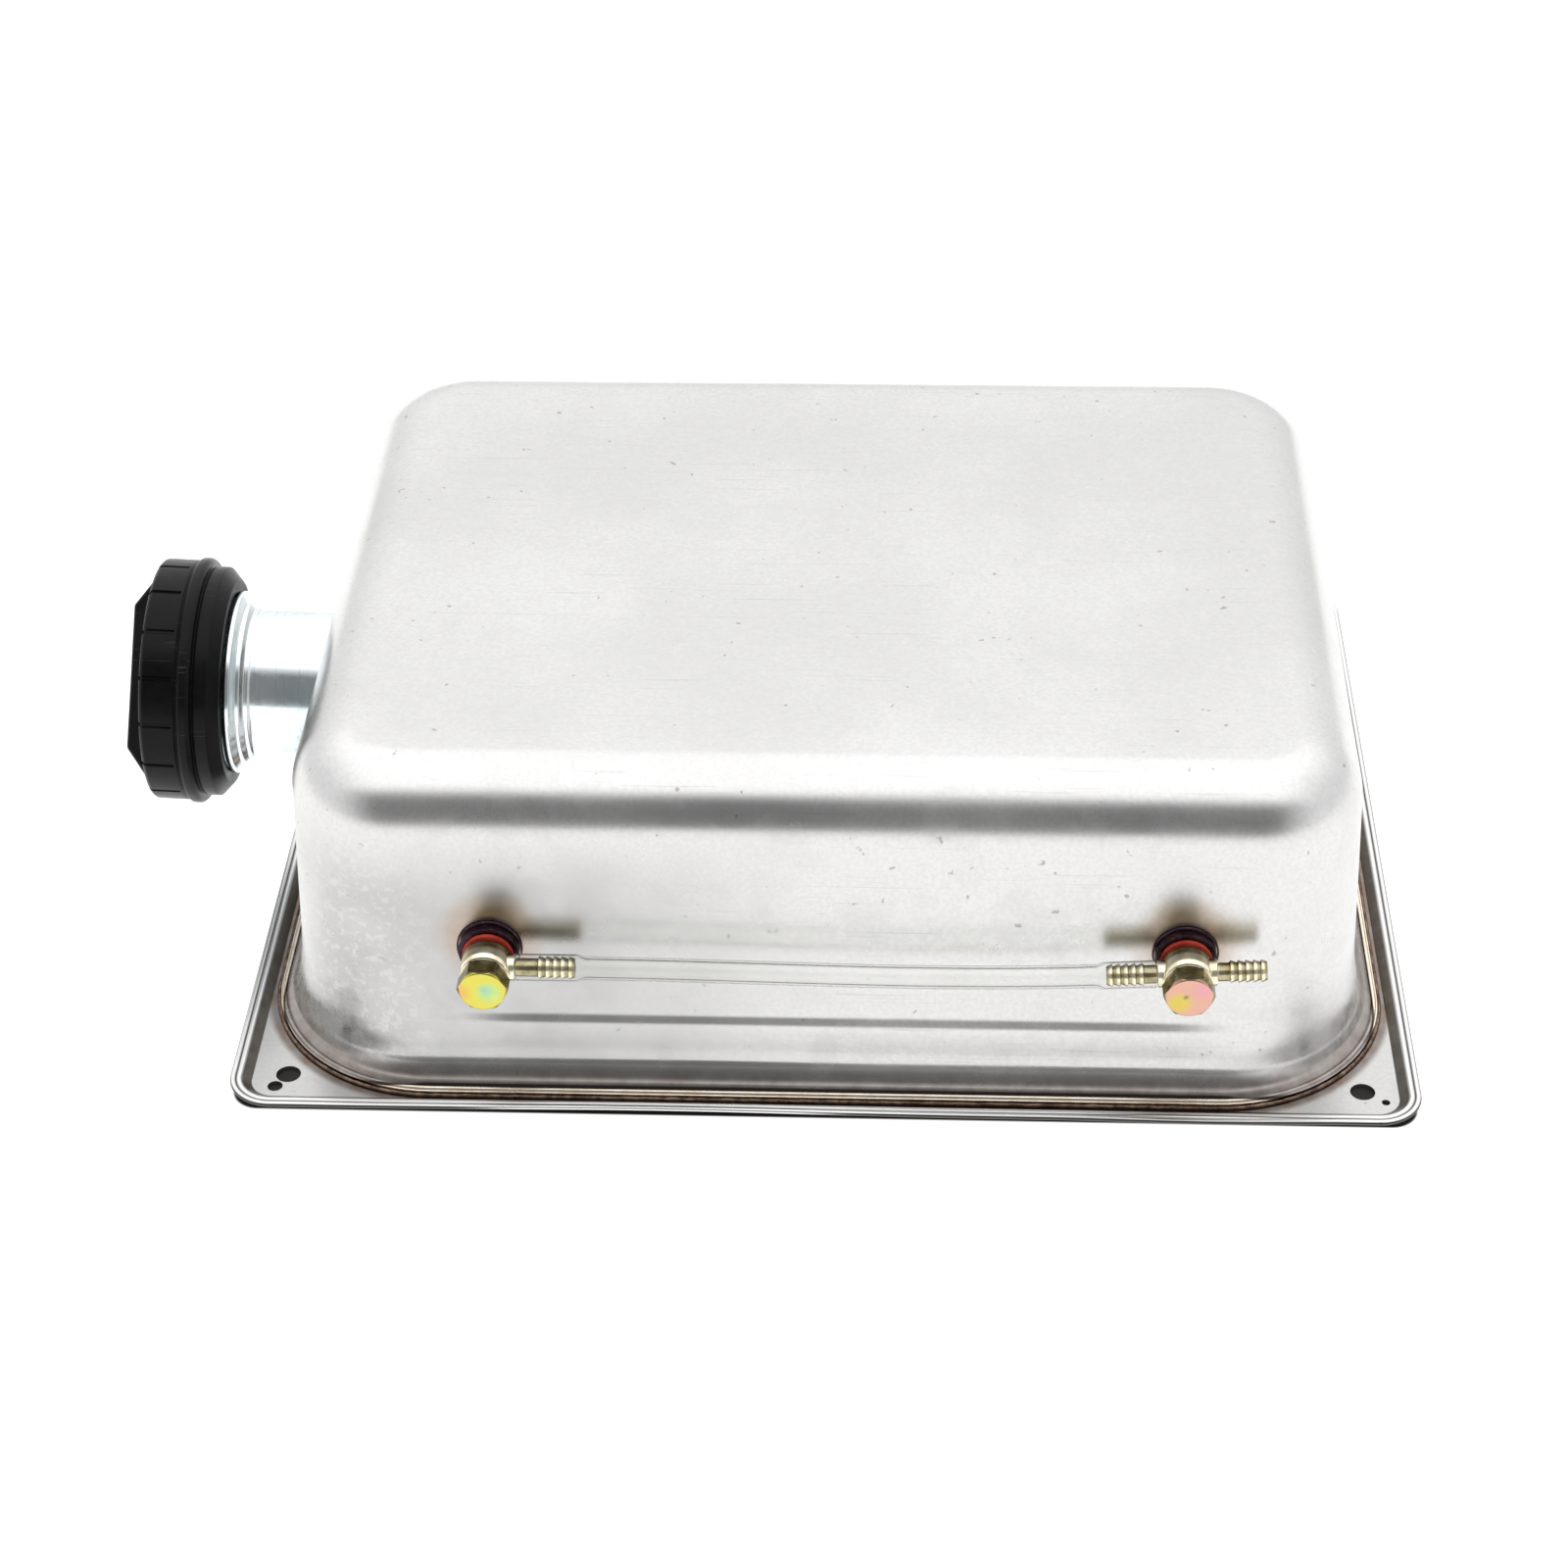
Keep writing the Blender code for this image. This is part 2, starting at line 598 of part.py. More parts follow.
def make_vent(plastic, steel, filler):
    """Sprung disc that opens towards the tank, the cage that holds it, and its spring."""
    seat = CAP_PLATE_START - GAP
    disc_back = seat - VENT_DISC_THICKNESS
    stem_tip = disc_back - VENT_STEM_LENGTH
    valve = [
        (0, seat),
        (VENT_DISC_RADIUS, seat),
        (VENT_DISC_RADIUS, disc_back),
        (VENT_STEM_RADIUS, disc_back),
        (VENT_STEM_RADIUS, stem_tip),
        (0, stem_tip),
    ]
    add_piece("vent_valve", turned(valve, 20), plastic, filler)

    cage_end = seat - CAGE_LENGTH
    cage = [
        (CAGE_FLANGE_RADIUS, seat),
        (CAGE_FLANGE_RADIUS, seat - CAGE_WALL),
        (CAGE_RADIUS, seat - CAGE_WALL),
        (CAGE_RADIUS, cage_end),
        (VENT_HOLE, cage_end),
        (VENT_HOLE, cage_end + CAGE_WALL),
        (CAGE_RADIUS - CAGE_WALL, cage_end + CAGE_WALL),
        (CAGE_RADIUS - CAGE_WALL, seat),
    ]
    add_piece("vent_cage", turned(cage, 24), steel, filler)

    start = cage_end + CAGE_WALL + GAP + SPRING_WIRE
    end = disc_back - GAP - SPRING_WIRE
    count = SPRING_TURNS * SPRING_POINTS_PER_TURN
    curve = bpy.data.curves.new("vent_spring", "CURVE")
    curve.dimensions = "3D"
    curve.bevel_depth = SPRING_WIRE
    curve.bevel_resolution = 1
    curve.use_fill_caps = True
    spline = curve.splines.new("POLY")
    spline.points.add(count)
    for index, point in enumerate(spline.points):
        angle = math.tau * index / SPRING_POINTS_PER_TURN
        height = start + (end - start) * index / count
        x = SPRING_RADIUS * math.cos(angle)
        y = SPRING_RADIUS * math.sin(angle)
        point.co = (x, y, height, 1)
    curve.materials.append(steel)
    spring = bpy.data.objects.new("vent_spring", curve)
    spring.parent = filler
    bpy.context.scene.collection.objects.link(spring)


def barb_profile(reach):
    """Outline of a hose barb turned about Z, from inside the banjo ring to its bevelled tip."""
    points = [(0, BANJO_BORE + 0.0010), (BARB_COLLAR_RADIUS, BANJO_BORE + 0.0010)]
    points += [(BARB_COLLAR_RADIUS, BARB_COLLAR_END - 0.0004), (BARB_ROOT, BARB_COLLAR_END)]
    for ridge in reversed(range(BARB_RIDGES)):
        crest = reach - 0.0022 - ridge * BARB_PITCH
        points += [(BARB_ROOT, crest - 0.0004), (BARB_CREST, crest), (BARB_ROOT, crest + 0.0020)]
    points.append((0, reach - 0.0002))
    return points


def make_banjo(name, zinc, gauge, reaches, turn):
    """Ring with a hose barb on each side that has a reach, drilled through to the ring's bore."""
    start = BOSS_FRONT + GAP + INNER_WASHER_THICKNESS + GAP
    end = start + BANJO_WIDTH
    middle = start + BANJO_WIDTH / 2
    ring = [
        (BANJO_BORE, start),
        (BANJO_RADIUS - BANJO_CHAMFER, start),
        (BANJO_RADIUS, start + 1.6 * BANJO_CHAMFER),
        (BANJO_RADIUS, end - 1.6 * BANJO_CHAMFER),
        (BANJO_RADIUS - BANJO_CHAMFER, end),
        (BANJO_BORE, end),
    ]
    ring_mesh = turned(ring, GAUGE_SEGMENTS)
    banjo = add_piece(name, ring_mesh, zinc, gauge, rotation=(0, 0, turn))
    for side, reach in reaches:
        rotation = (0, side * math.pi / 2, 0)
        barb = turned(barb_profile(reach), BARB_SEGMENTS)
        apply_boolean(banjo, "UNION", barb, (0, 0, middle), rotation)
    for side, reach in reaches:
        rotation = (0, side * math.pi / 2, 0)
        bore = rod(BARB_BORE, BANJO_BORE - 0.0020, reach + 0.0020, 12)
        apply_boolean(banjo, "DIFFERENCE", bore, (0, 0, middle), rotation)


def make_bolt(name, zinc, gauge):
    """Hollow banjo bolt: chamfered hexagon head and a drilled shank that reaches into the tank."""
    washer_end = BOSS_FRONT + INNER_WASHER_THICKNESS + BANJO_WIDTH + OUTER_WASHER_THICKNESS
    head_start = washer_end + 4 * GAP
    head_end = head_start + HEX_HEIGHT
    corner = HEX_ACROSS_FLATS / math.sqrt(3)
    bm = turned([(0, head_start), (corner, head_start), (corner, head_end), (0, head_end)], 6)
    bolt = add_piece(name, bm, zinc, gauge)
    half_flats = HEX_ACROSS_FLATS / 2
    dome = [
        (0, head_start - 0.0010),
        (corner + 0.0010, head_start - 0.0010),
        (corner + 0.0010, head_end - HEX_CHAMFER - 0.0004),
        (half_flats - 0.0002, head_end - 0.0001),
        (half_flats - 0.0006, head_end + 0.0002),
        (0, head_end + 0.0002),
    ]
    apply_boolean(bolt, "INTERSECT", turned(dome, GAUGE_SEGMENTS))
    shank = rod(BOLT_RADIUS, BOLT_TIP, head_start + 0.0020, GAUGE_SEGMENTS)
    apply_boolean(bolt, "UNION", shank)
    cross_height = BOSS_FRONT + INNER_WASHER_THICKNESS + 2 * GAP + BANJO_WIDTH / 2
    axial = rod(BOLT_AXIAL_BORE, BOLT_TIP - 0.0010, cross_height + 0.0015, 16)
    apply_boolean(bolt, "DIFFERENCE", axial)
    cross = rod(BOLT_CROSS_BORE, -2 * BOLT_RADIUS, 2 * BOLT_RADIUS, 12)
    apply_boolean(bolt, "DIFFERENCE", cross, (0, 0, cross_height), (0, math.pi / 2, 0))


def make_boss(side, steel, heat_tinted, gauge):
    """Threaded bung set through the wall, with its back leaning with the wall, and its weld."""
    profile = [
        (BOLT_RADIUS + GAP, -BOSS_SPIGOT_LENGTH),
        (BOSS_SPIGOT_RADIUS, -BOSS_SPIGOT_LENGTH),
        (BOSS_SPIGOT_RADIUS, GAP),
        (BOSS_RADIUS, GAP),
        (BOSS_RADIUS, BOSS_FRONT),
        (BOLT_RADIUS + GAP, BOSS_FRONT),
    ]
    boss = turned(profile, GAUGE_SEGMENTS)
    back_verts = [vert for vert in boss.verts if abs(vert.co.z - GAP) < GAP / 10]
    lean_onto_wall(back_verts)
    add_piece(side + "_boss", boss, steel, gauge)
    bead = weld_ring(BOSS_RADIUS + GAP, GAP, BOSS_WELD_LEG, GAUGE_SEGMENTS)
    lean_onto_wall(bead.verts)
    add_piece(side + "_boss_weld", bead, heat_tinted, gauge)


def make_washers(side, fibre, zinc, gauge):
    inner_start = BOSS_FRONT + GAP
    inner_end = inner_start + INNER_WASHER_THICKNESS
    inner = ring_section(WASHER_BORE, INNER_WASHER_RADIUS, inner_start, inner_end)
    add_piece(side + "_inner_washer", turned(inner, GAUGE_SEGMENTS), fibre, gauge)
    outer_start = inner_end + GAP + BANJO_WIDTH + GAP
    outer_end = outer_start + OUTER_WASHER_THICKNESS
    outer = ring_section(WASHER_BORE, OUTER_WASHER_RADIUS, outer_start, outer_end)
    add_piece(side + "_outer_washer", turned(outer, GAUGE_SEGMENTS), zinc, gauge)


def tube_line(x, left_tip, right_tip):
    """Height of the level tube's centre line and its slope at x. Its ends follow the barbs."""
    slope = math.tan(RIGHT_BANJO_TURN)
    low = LEFT_GAUGE[1]
    if x <= left_tip:
        return low, 0.0
    if x >= right_tip:
        return RIGHT_GAUGE[1] + slope * (x - RIGHT_GAUGE[0]), slope
    high = RIGHT_GAUGE[1] + slope * (right_tip - RIGHT_GAUGE[0])
    span = right_tip - left_tip
    t = (x - left_tip) / span
    rise = (high - low) * (3 * t ** 2 - 2 * t ** 3) + slope * span * (t ** 3 - t ** 2)
    grade = (high - low) * (6 * t - 6 * t ** 2) / span + slope * (3 * t ** 2 - 2 * t)
    return low + rise, grade


def make_level_tube(clear_plastic):
    """Clear hose, stretched into a sleeve over each barb."""
    left_end = LEFT_GAUGE[0] + BARB_COLLAR_END + GAP
    right_end = RIGHT_GAUGE[0] - BARB_COLLAR_END - GAP
    left_tip = LEFT_GAUGE[0] + LEFT_BARB_REACH + GAP
    right_tip = RIGHT_GAUGE[0] - RIGHT_BARB_REACH - GAP
    left_taper = left_tip + TUBE_TAPER
    right_taper = right_tip - TUBE_TAPER
    bore = TUBE_RADIUS - TUBE_WALL
    between = (right_taper - left_taper) / TUBE_STEPS
    middle = [left_taper + between * step for step in range(TUBE_STEPS + 1)]
    profile = [(TUBE_SLEEVE_RADIUS, left_end), (TUBE_SLEEVE_RADIUS, left_tip)]
    profile += [(TUBE_RADIUS, x) for x in middle]
    profile += [(TUBE_SLEEVE_RADIUS, right_tip), (TUBE_SLEEVE_RADIUS, right_end)]
    profile += [(TUBE_SLEEVE_BORE, right_end), (TUBE_SLEEVE_BORE, right_tip)]
    profile += [(bore, x) for x in reversed(middle)]
    profile += [(TUBE_SLEEVE_BORE, left_tip), (TUBE_SLEEVE_BORE, left_end)]
    left_y, right_y = [tube_depth(gauge) for gauge in (LEFT_GAUGE, RIGHT_GAUGE)]
    rings = []
    for radius, x in profile:
        height, slope = tube_line(x, left_taper, right_taper)
        share = min(1.0, max(0.0, (x - left_taper) / (right_taper - left_taper)))
        y = left_y + share * (right_y - left_y)
        lean = math.atan(slope)
        ring = []
        for index in range(TUBE_SEGMENTS):
            angle = math.tau * index / TUBE_SEGMENTS
            up = radius * math.sin(angle)
            across = y + radius * math.cos(angle)
            ring.append((x - up * math.sin(lean), across, height + up * math.cos(lean)))
        rings.append(ring)
    add_piece("level_tube", loft(rings, closed=True), clear_plastic)


def tube_depth(gauge):
    """Y of a banjo's barb, which stands out from the drafted wall at the gauge's height."""
    outwards = BOSS_FRONT + 2 * GAP + INNER_WASHER_THICKNESS + BANJO_WIDTH / 2
    return gauge_location(gauge)[1] - outwards


def make_gauge(side, place, reaches, turn, materials):
    gauge = add_empty(side + "_gauge_axis", gauge_location(place), GAUGE_TURN)
    make_boss(side, materials["steel"], materials["heat_tint"], gauge)
    make_washers(side, materials["fibre"], materials["yellow_zinc"], gauge)
    make_banjo(side + "_banjo", materials["yellow_zinc"], gauge, reaches, turn)
    make_bolt(side + "_banjo_bolt", materials["yellow_zinc"], gauge)


def make_materials():
    return {
        "steel": new_material("satin_steel", (0.62, 0.61, 0.59), 0.38, 1.0),
        "heat_tint": new_material("heat_tinted_weld", (0.33, 0.24, 0.17), 0.45, 1.0),
        "blue_zinc": new_material("blue_zinc", (0.72, 0.78, 0.80), 0.18, 1.0),
        "strainer": new_material("strainer_steel", (0.66, 0.66, 0.64), 0.30, 1.0),
        "cap": new_material("cap_plastic", (0.018, 0.018, 0.020), 0.45, 0.0),
        "rubber": new_material("nitrile_rubber", (0.02, 0.02, 0.02), 0.70, 0.0),
        "vent": new_material("vent_plastic", (0.75, 0.73, 0.68), 0.50, 0.0),
        "fibre": new_material("red_fibre", (0.45, 0.06, 0.03), 0.65, 0.0),
        "yellow_zinc": new_material("yellow_zinc", (0.76, 0.66, 0.36), 0.24, 1.0),
        "clear": new_material("clear_hose", (0.93, 0.94, 0.93), 0.08, 0.0, 0.30),
    }


def main():
    clear_scene()
    materials = make_materials()
    make_base_plate(materials["steel"])
    make_tank_shell(materials["steel"])
    make_seam_weld(materials["heat_tint"])

    filler = add_empty("filler_axis", (0, 0, FILLER_HEIGHT), FILLER_TURN)
    make_filler_neck(materials["blue_zinc"], filler)
    make_neck_weld(materials["heat_tint"], filler)
    make_strainer(materials["blue_zinc"], materials["strainer"], filler)
    make_cap_shell(materials["cap"], filler)
    make_cap_inside(materials["rubber"], materials["blue_zinc"], filler)
    make_vent(materials["vent"], materials["strainer"], filler)

    make_gauge("left", LEFT_GAUGE, [(1, LEFT_BARB_REACH)], 0, materials)
    right_reaches = [(-1, RIGHT_BARB_REACH), (1, OUTLET_BARB_REACH)]
    make_gauge("right", RIGHT_GAUGE, right_reaches, RIGHT_BANJO_TURN, materials)
    make_level_tube(materials["clear"])


main()
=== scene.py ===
import math

import bmesh
import bpy
from mathutils import Matrix, Vector, noise


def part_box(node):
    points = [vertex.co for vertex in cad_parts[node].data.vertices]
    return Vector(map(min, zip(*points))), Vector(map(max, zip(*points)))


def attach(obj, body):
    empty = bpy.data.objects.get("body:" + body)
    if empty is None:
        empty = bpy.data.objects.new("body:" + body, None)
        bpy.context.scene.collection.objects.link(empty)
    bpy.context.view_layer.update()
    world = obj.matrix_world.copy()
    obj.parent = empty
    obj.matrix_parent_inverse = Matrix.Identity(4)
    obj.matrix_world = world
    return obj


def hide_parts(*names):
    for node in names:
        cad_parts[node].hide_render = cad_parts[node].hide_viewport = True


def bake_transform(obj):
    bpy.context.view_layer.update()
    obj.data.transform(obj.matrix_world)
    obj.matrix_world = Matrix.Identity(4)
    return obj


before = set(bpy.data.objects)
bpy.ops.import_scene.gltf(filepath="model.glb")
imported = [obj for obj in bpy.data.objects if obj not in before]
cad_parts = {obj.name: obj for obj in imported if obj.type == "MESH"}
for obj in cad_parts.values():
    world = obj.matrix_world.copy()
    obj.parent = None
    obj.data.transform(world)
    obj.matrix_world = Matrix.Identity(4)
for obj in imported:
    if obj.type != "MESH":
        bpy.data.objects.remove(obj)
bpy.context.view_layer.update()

SMOOTH_ANGLE = math.radians(32)
AXIS_REACH = 1e-6  # a radius below this is on the axis
GAP = 0.0003

# Base plate
PLATE_LENGTH = 0.420
PLATE_DEPTH = 0.345
PLATE_CORNER = 0.016
PLATE_TOP = 0.0015
BOLT_HOLES = [(x, y, 0.0044) for x in (-0.19, 0.19) for y in (-0.1531, 0.1531)]
JIG_HOLES = [(-0.1938, -0.1597, 0.0027), (0.1976, -0.1586, 0.0015)]

# Tank shell: half length, half depth and corner radius at the shoulder and at the step
SHEET = 0.0015
TANK_HEIGHT = 0.1254
SHOULDER_ROUND = 0.0240
SHOULDER_HEIGHT = TANK_HEIGHT - SHOULDER_ROUND
SHOULDER_SIZE = (0.1856, 0.1500, 0.0400)
STEP_HEIGHT = 0.0286
STEP_SIZE = (0.1887, 0.1520, 0.0430)
STEP_ROLL = 0.0040
GROWTH_END = 0.0065
FLANGE_SPREAD = 0.0112
FLANGE_TOP = 0.0033
CORNER_STEPS = 22
STRAIGHT_STEPS = 26

# Filler, along its axis from the tank's middle. The axis is square to the drafted end wall
FILLER_HEIGHT = 0.0568
FILLER_CLIMB = math.atan((STEP_SIZE[0] - SHOULDER_SIZE[0]) / (SHOULDER_HEIGHT - STEP_HEIGHT))
FILLER_TURN = Matrix.Rotation(FILLER_CLIMB - math.pi / 2, 4, "Y")
FILLER = Matrix.Translation((0, 0, FILLER_HEIGHT)) @ FILLER_TURN
NECK_RADIUS = 0.0287
NECK_BORE = 0.0275
NECK_ROOT = 0.1815
NECK_MOUTH = 0.2465
MOUTH_BORE = 0.0310
LIP_RADIUS = 0.0347
LIP_START = 0.2248
LIP_END = 0.2270
RIDGE_PITCH = 0.0026
RIDGE_HEIGHT = 0.0008
THREAD_CREST = 0.0336
THREAD_ROOT = 0.0328
THREAD_LEAD = 0.0040
NECK_WELD_LEG = 0.0018
RIM_RADIUS = THREAD_ROOT - 0.0004
COLLAR_BORE = 0.0244
COLLAR_RADIUS = 0.0250
COLLAR_DEPTH = 0.0090
STRAINER_BOTTOM = 0.1560
STRAINER_HOLES = (48, 26)  # around, along
CAP_SKIRT_END = 0.2278
CAP_SKIRT_RADIUS = 0.0436
CAP_FACE = 0.2565
CAP_RADIUS = 0.0457
CAP_BEAD = 0.0467
BEAD_START = CAP_FACE - 0.0135
BEAD_END = CAP_FACE - 0.0192
CAP_BORE = 0.0341
CAP_THREAD_GROOVE = 0.0349
POCKET_RADIUS = 0.0240
FACE_SINK = 0.0009
FACE_THICKNESS = 0.0028
CAP_GROOVES = 16
GROOVE_DEPTH = 0.0008
GROOVE_END = CAP_FACE - 0.0121
GRIP_LEAN = math.radians(37)
GRIP_HEIGHT = 0.0115
GRIP_SUNK = 0.0015
GRIP_BASE = (0.0890, 0.0110)  # length, width
GRIP_TOP = (0.0545, 0.0078)
CAP_PLATE_START = 0.2502
CAP_PLATE_END = CAP_PLATE_START + 0.0012
CAP_PLATE_RADIUS = 0.0346
GASKET = (0.0252, THREAD_CREST, 0.2479, 0.2499)  # bore, radius, start, end
VENT_SEAT = CAP_PLATE_START - GAP
VENT_HOLE = 0.0035
VENT_DISC_RADIUS = 0.0065
VENT_STEM_RADIUS = 0.0018
CAGE_RADIUS = 0.0084
CAGE_FLANGE = 0.0120
CAGE_WALL = 0.0008
CAGE_LENGTH = 0.0097
SPRING_RADIUS = 0.0042
SPRING_WIRE = 0.00035
SPRING_TURNS = 4

# Level gauge, outwards from the front wall
GAUGES = {"left": (-0.1149, 0.0588), "right": (0.1247, 0.0607)}
RIGHT_TURN = math.radians(3.5)
BOSS_RADIUS = 0.0105
BOSS_BORE = 0.0052
SPIGOT_RADIUS = 0.0082
SPIGOT_LENGTH = 0.0045
BOSS_FRONT = 0.0036
WASHER_BORE = 0.0054
BANJO_BORE = 0.0053
BANJO_START = 0.0057
BANJO_WIDTH = 0.0102
BANJO_RADIUS = 0.0087
BANJO_CHAMFER = 0.0010
BARB_CREST = 0.0040
BARB_ROOT = 0.0032
BARB_COLLAR = 0.0047
BARB_COLLAR_END = 0.0104
BARB_BORE = 0.0017
BARB_RIDGES = 5
BARB_PITCH = 0.0026
LEFT_REACH = 0.0309
RIGHT_REACH = 0.0277
OUTLET_REACH = 0.0272
HEAD_START = 0.0177
HEAD_END = 0.0246
HEX_ACROSS_FLATS = 0.0156
BOLT_RADIUS = 0.0049
BOLT_BORE = 0.0024
BOLT_TIP = -0.0035
TUBE_RADIUS = 0.0041
TUBE_BORE = 0.0030
SLEEVE_RADIUS = 0.0048
SLEEVE_BORE = BARB_CREST + GAP
TUBE_TAPER = 0.0030

# Plain steel colours
SHELL_TINT = (0.645, 0.64, 0.63)
PLATE_TINT = (0.55, 0.545, 0.53)


# ---- meshes ----

def add_face(bm, verts):
    verts = list(dict.fromkeys(verts))
    if len(verts) > 2:
        bm.faces.new(verts)


def grid(bm, rows, wrap_rows=False):
    """Quads between rings of vertices, each ring closed on itself."""
    ahead = rows[1:] + rows[:1] if wrap_rows else rows[1:]
    for low, high in zip(rows, ahead):
        for i in range(len(low)):
            j = (i + 1) % len(low)
            add_face(bm, (low[i], low[j], high[j], high[i]))


def loft(rings, first_cap=False, last_cap=False, closed=False):
    bm = bmesh.new()
    rows = [[bm.verts.new(point) for point in ring] for ring in rings]
    grid(bm, rows, closed)
    if first_cap:
        bm.faces.new(rows[0])
    if last_cap:
        bm.faces.new(rows[-1])
    return bm


def soften(points, radius, steps=3, closed=True):
    """The outline with each corner rounded."""
    made = []
    last = len(points) - 1
    for i, point in enumerate(points):
        here = Vector(point)
        if not closed and i in (0, last):
            made.append(here)
            continue
        back = Vector(points[i - 1]) - here
        ahead = Vector(points[(i + 1) % len(points)]) - here
        start = here + back.normalized() * min(radius, back.length * 0.45)
        end = here + ahead.normalized() * min(radius, ahead.length * 0.45)
        for step in range(steps + 1):
            t = step / steps
            made.append(start * (1 - t) ** 2 + here * 2 * t * (1 - t) + end * t * t)
    return made


def turned(profile, turns=64, shape=None):
    """Turns (radius, height) points about Z. The outline is closed unless it ends on the axis."""
    angles = turns
    if isinstance(turns, int):
        angles = [math.tau * i / turns for i in range(turns)]
    bm = bmesh.new()
    rows = []
    for radius, height in profile:
        if radius < AXIS_REACH:
            rows.append([bm.verts.new((0, 0, height))] * len(angles))
            continue
        row = []
        for angle in angles:
            r, h = shape(radius, height, angle) if shape else (radius, height)
            row.append(bm.verts.new((r * math.cos(angle), r * math.sin(angle), h)))
        rows.append(row)
    grid(bm, rows, profile[0][0] > AXIS_REACH)
    return bm


def ring(inner, outer, start, end, edge=0.0002):
    return soften([(inner, start), (outer, start), (outer, end), (inner, end)], edge)


def rod(radius, start, end, segments=48):
    return turned([(0, start), (radius, start), (radius, end), (0, end)], segments)


def placed(bm, matrix):
    bmesh.ops.transform(bm, matrix=matrix, verts=bm.verts)
    return bm


def joined(parts):
    """One bmesh that holds all the parts."""
    whole = bmesh.new()
    for part in parts:
        mesh = bpy.data.meshes.new("part")
        part.to_mesh(mesh)
        part.free()
        whole.from_mesh(mesh)
        bpy.data.meshes.remove(mesh)
    return whole


def helper(bm):
    bmesh.ops.recalc_face_normals(bm, faces=bm.faces)
    mesh = bpy.data.meshes.new("helper")
    bm.to_mesh(mesh)
    bm.free()
    made = bpy.data.objects.new("helper", mesh)
    bpy.context.scene.collection.objects.link(made)
    return made


def modified(bm, kind, other=None, **settings):
    """The bmesh after one modifier, which may take another bmesh as its object."""
    base = helper(bm)
    modifier = base.modifiers.new("change", kind)
    helpers = [base]
    if other is not None:
        helpers.append(helper(other))
        modifier.object = helpers[1]
        modifier.solver = "EXACT"
    for key, value in settings.items():
        setattr(modifier, key, value)
    bpy.context.view_layer.update()
    made = bmesh.new()
    made.from_object(base, bpy.context.evaluated_depsgraph_get())
    for item in helpers:
        mesh = item.data
        bpy.data.objects.remove(item)
        bpy.data.meshes.remove(mesh)
    return made


def show(name, bm, look, node, body="tank"):
    """The finished piece, which stands for a CAD node and rides on its body, if one is given."""
    bmesh.ops.recalc_face_normals(bm, faces=bm.faces)
    mesh = bpy.data.meshes.new(name)
    bm.to_mesh(mesh)
    bm.free()
    mesh.materials.append(look)
    mesh.shade_smooth()
    mesh.set_sharp_from_angle(angle=SMOOTH_ANGLE)
    piece = bpy.data.objects.new(name, mesh)
    bpy.context.scene.collection.objects.link(piece)
    if body:
        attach(piece, body)
    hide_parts(node)
    return piece


def rounded_ring(half_length, half_depth, radius, height, corner=CORNER_STEPS, straight=STRAIGHT_STEPS):
    """Points round a rounded rectangle, anticlockwise from its +X side."""
    corners = []
    for quarter in range(4):
        centre_x = (half_length - radius) * (1 if quarter in (0, 3) else -1)
        centre_y = (half_depth - radius) * (1 if quarter in (0, 1) else -1)
        arc = []
        for step in range(corner + 1):
            angle = (quarter + step / corner) * math.pi / 2
            x = centre_x + radius * math.cos(angle)
            y = centre_y + radius * math.sin(angle)
            arc.append(Vector((x, y, height)))
        corners.append(arc)
    points = []
    for quarter, arc in enumerate(corners):
        points += arc
        ahead = corners[(quarter + 1) % 4][0]
        points += [arc[-1].lerp(ahead, step / straight) for step in range(1, straight)]
    return points


# ---- materials ----

def add_node(tree, kind, inputs, **settings):
    """A new node, whose inputs are set to a value or linked to a socket."""
    made = tree.nodes.new(kind)
    for key, value in settings.items():
        setattr(made, key, value)
    for key, value in inputs.items():
        if isinstance(value, bpy.types.NodeSocket):
            tree.links.new(value, made.inputs[key])
        else:
            made.inputs[key].default_value = value
    return made


def add_ramp(tree, value, stops):
    made = add_node(tree, "ShaderNodeValToRGB", {0: value})
    elements = made.color_ramp.elements
    while len(elements) < len(stops):
        elements.new(0.5)
    for element, (position, colour) in zip(elements, stops):
        element.position = position
        element.color = (*colour, 1.0)
    return made.outputs[0]


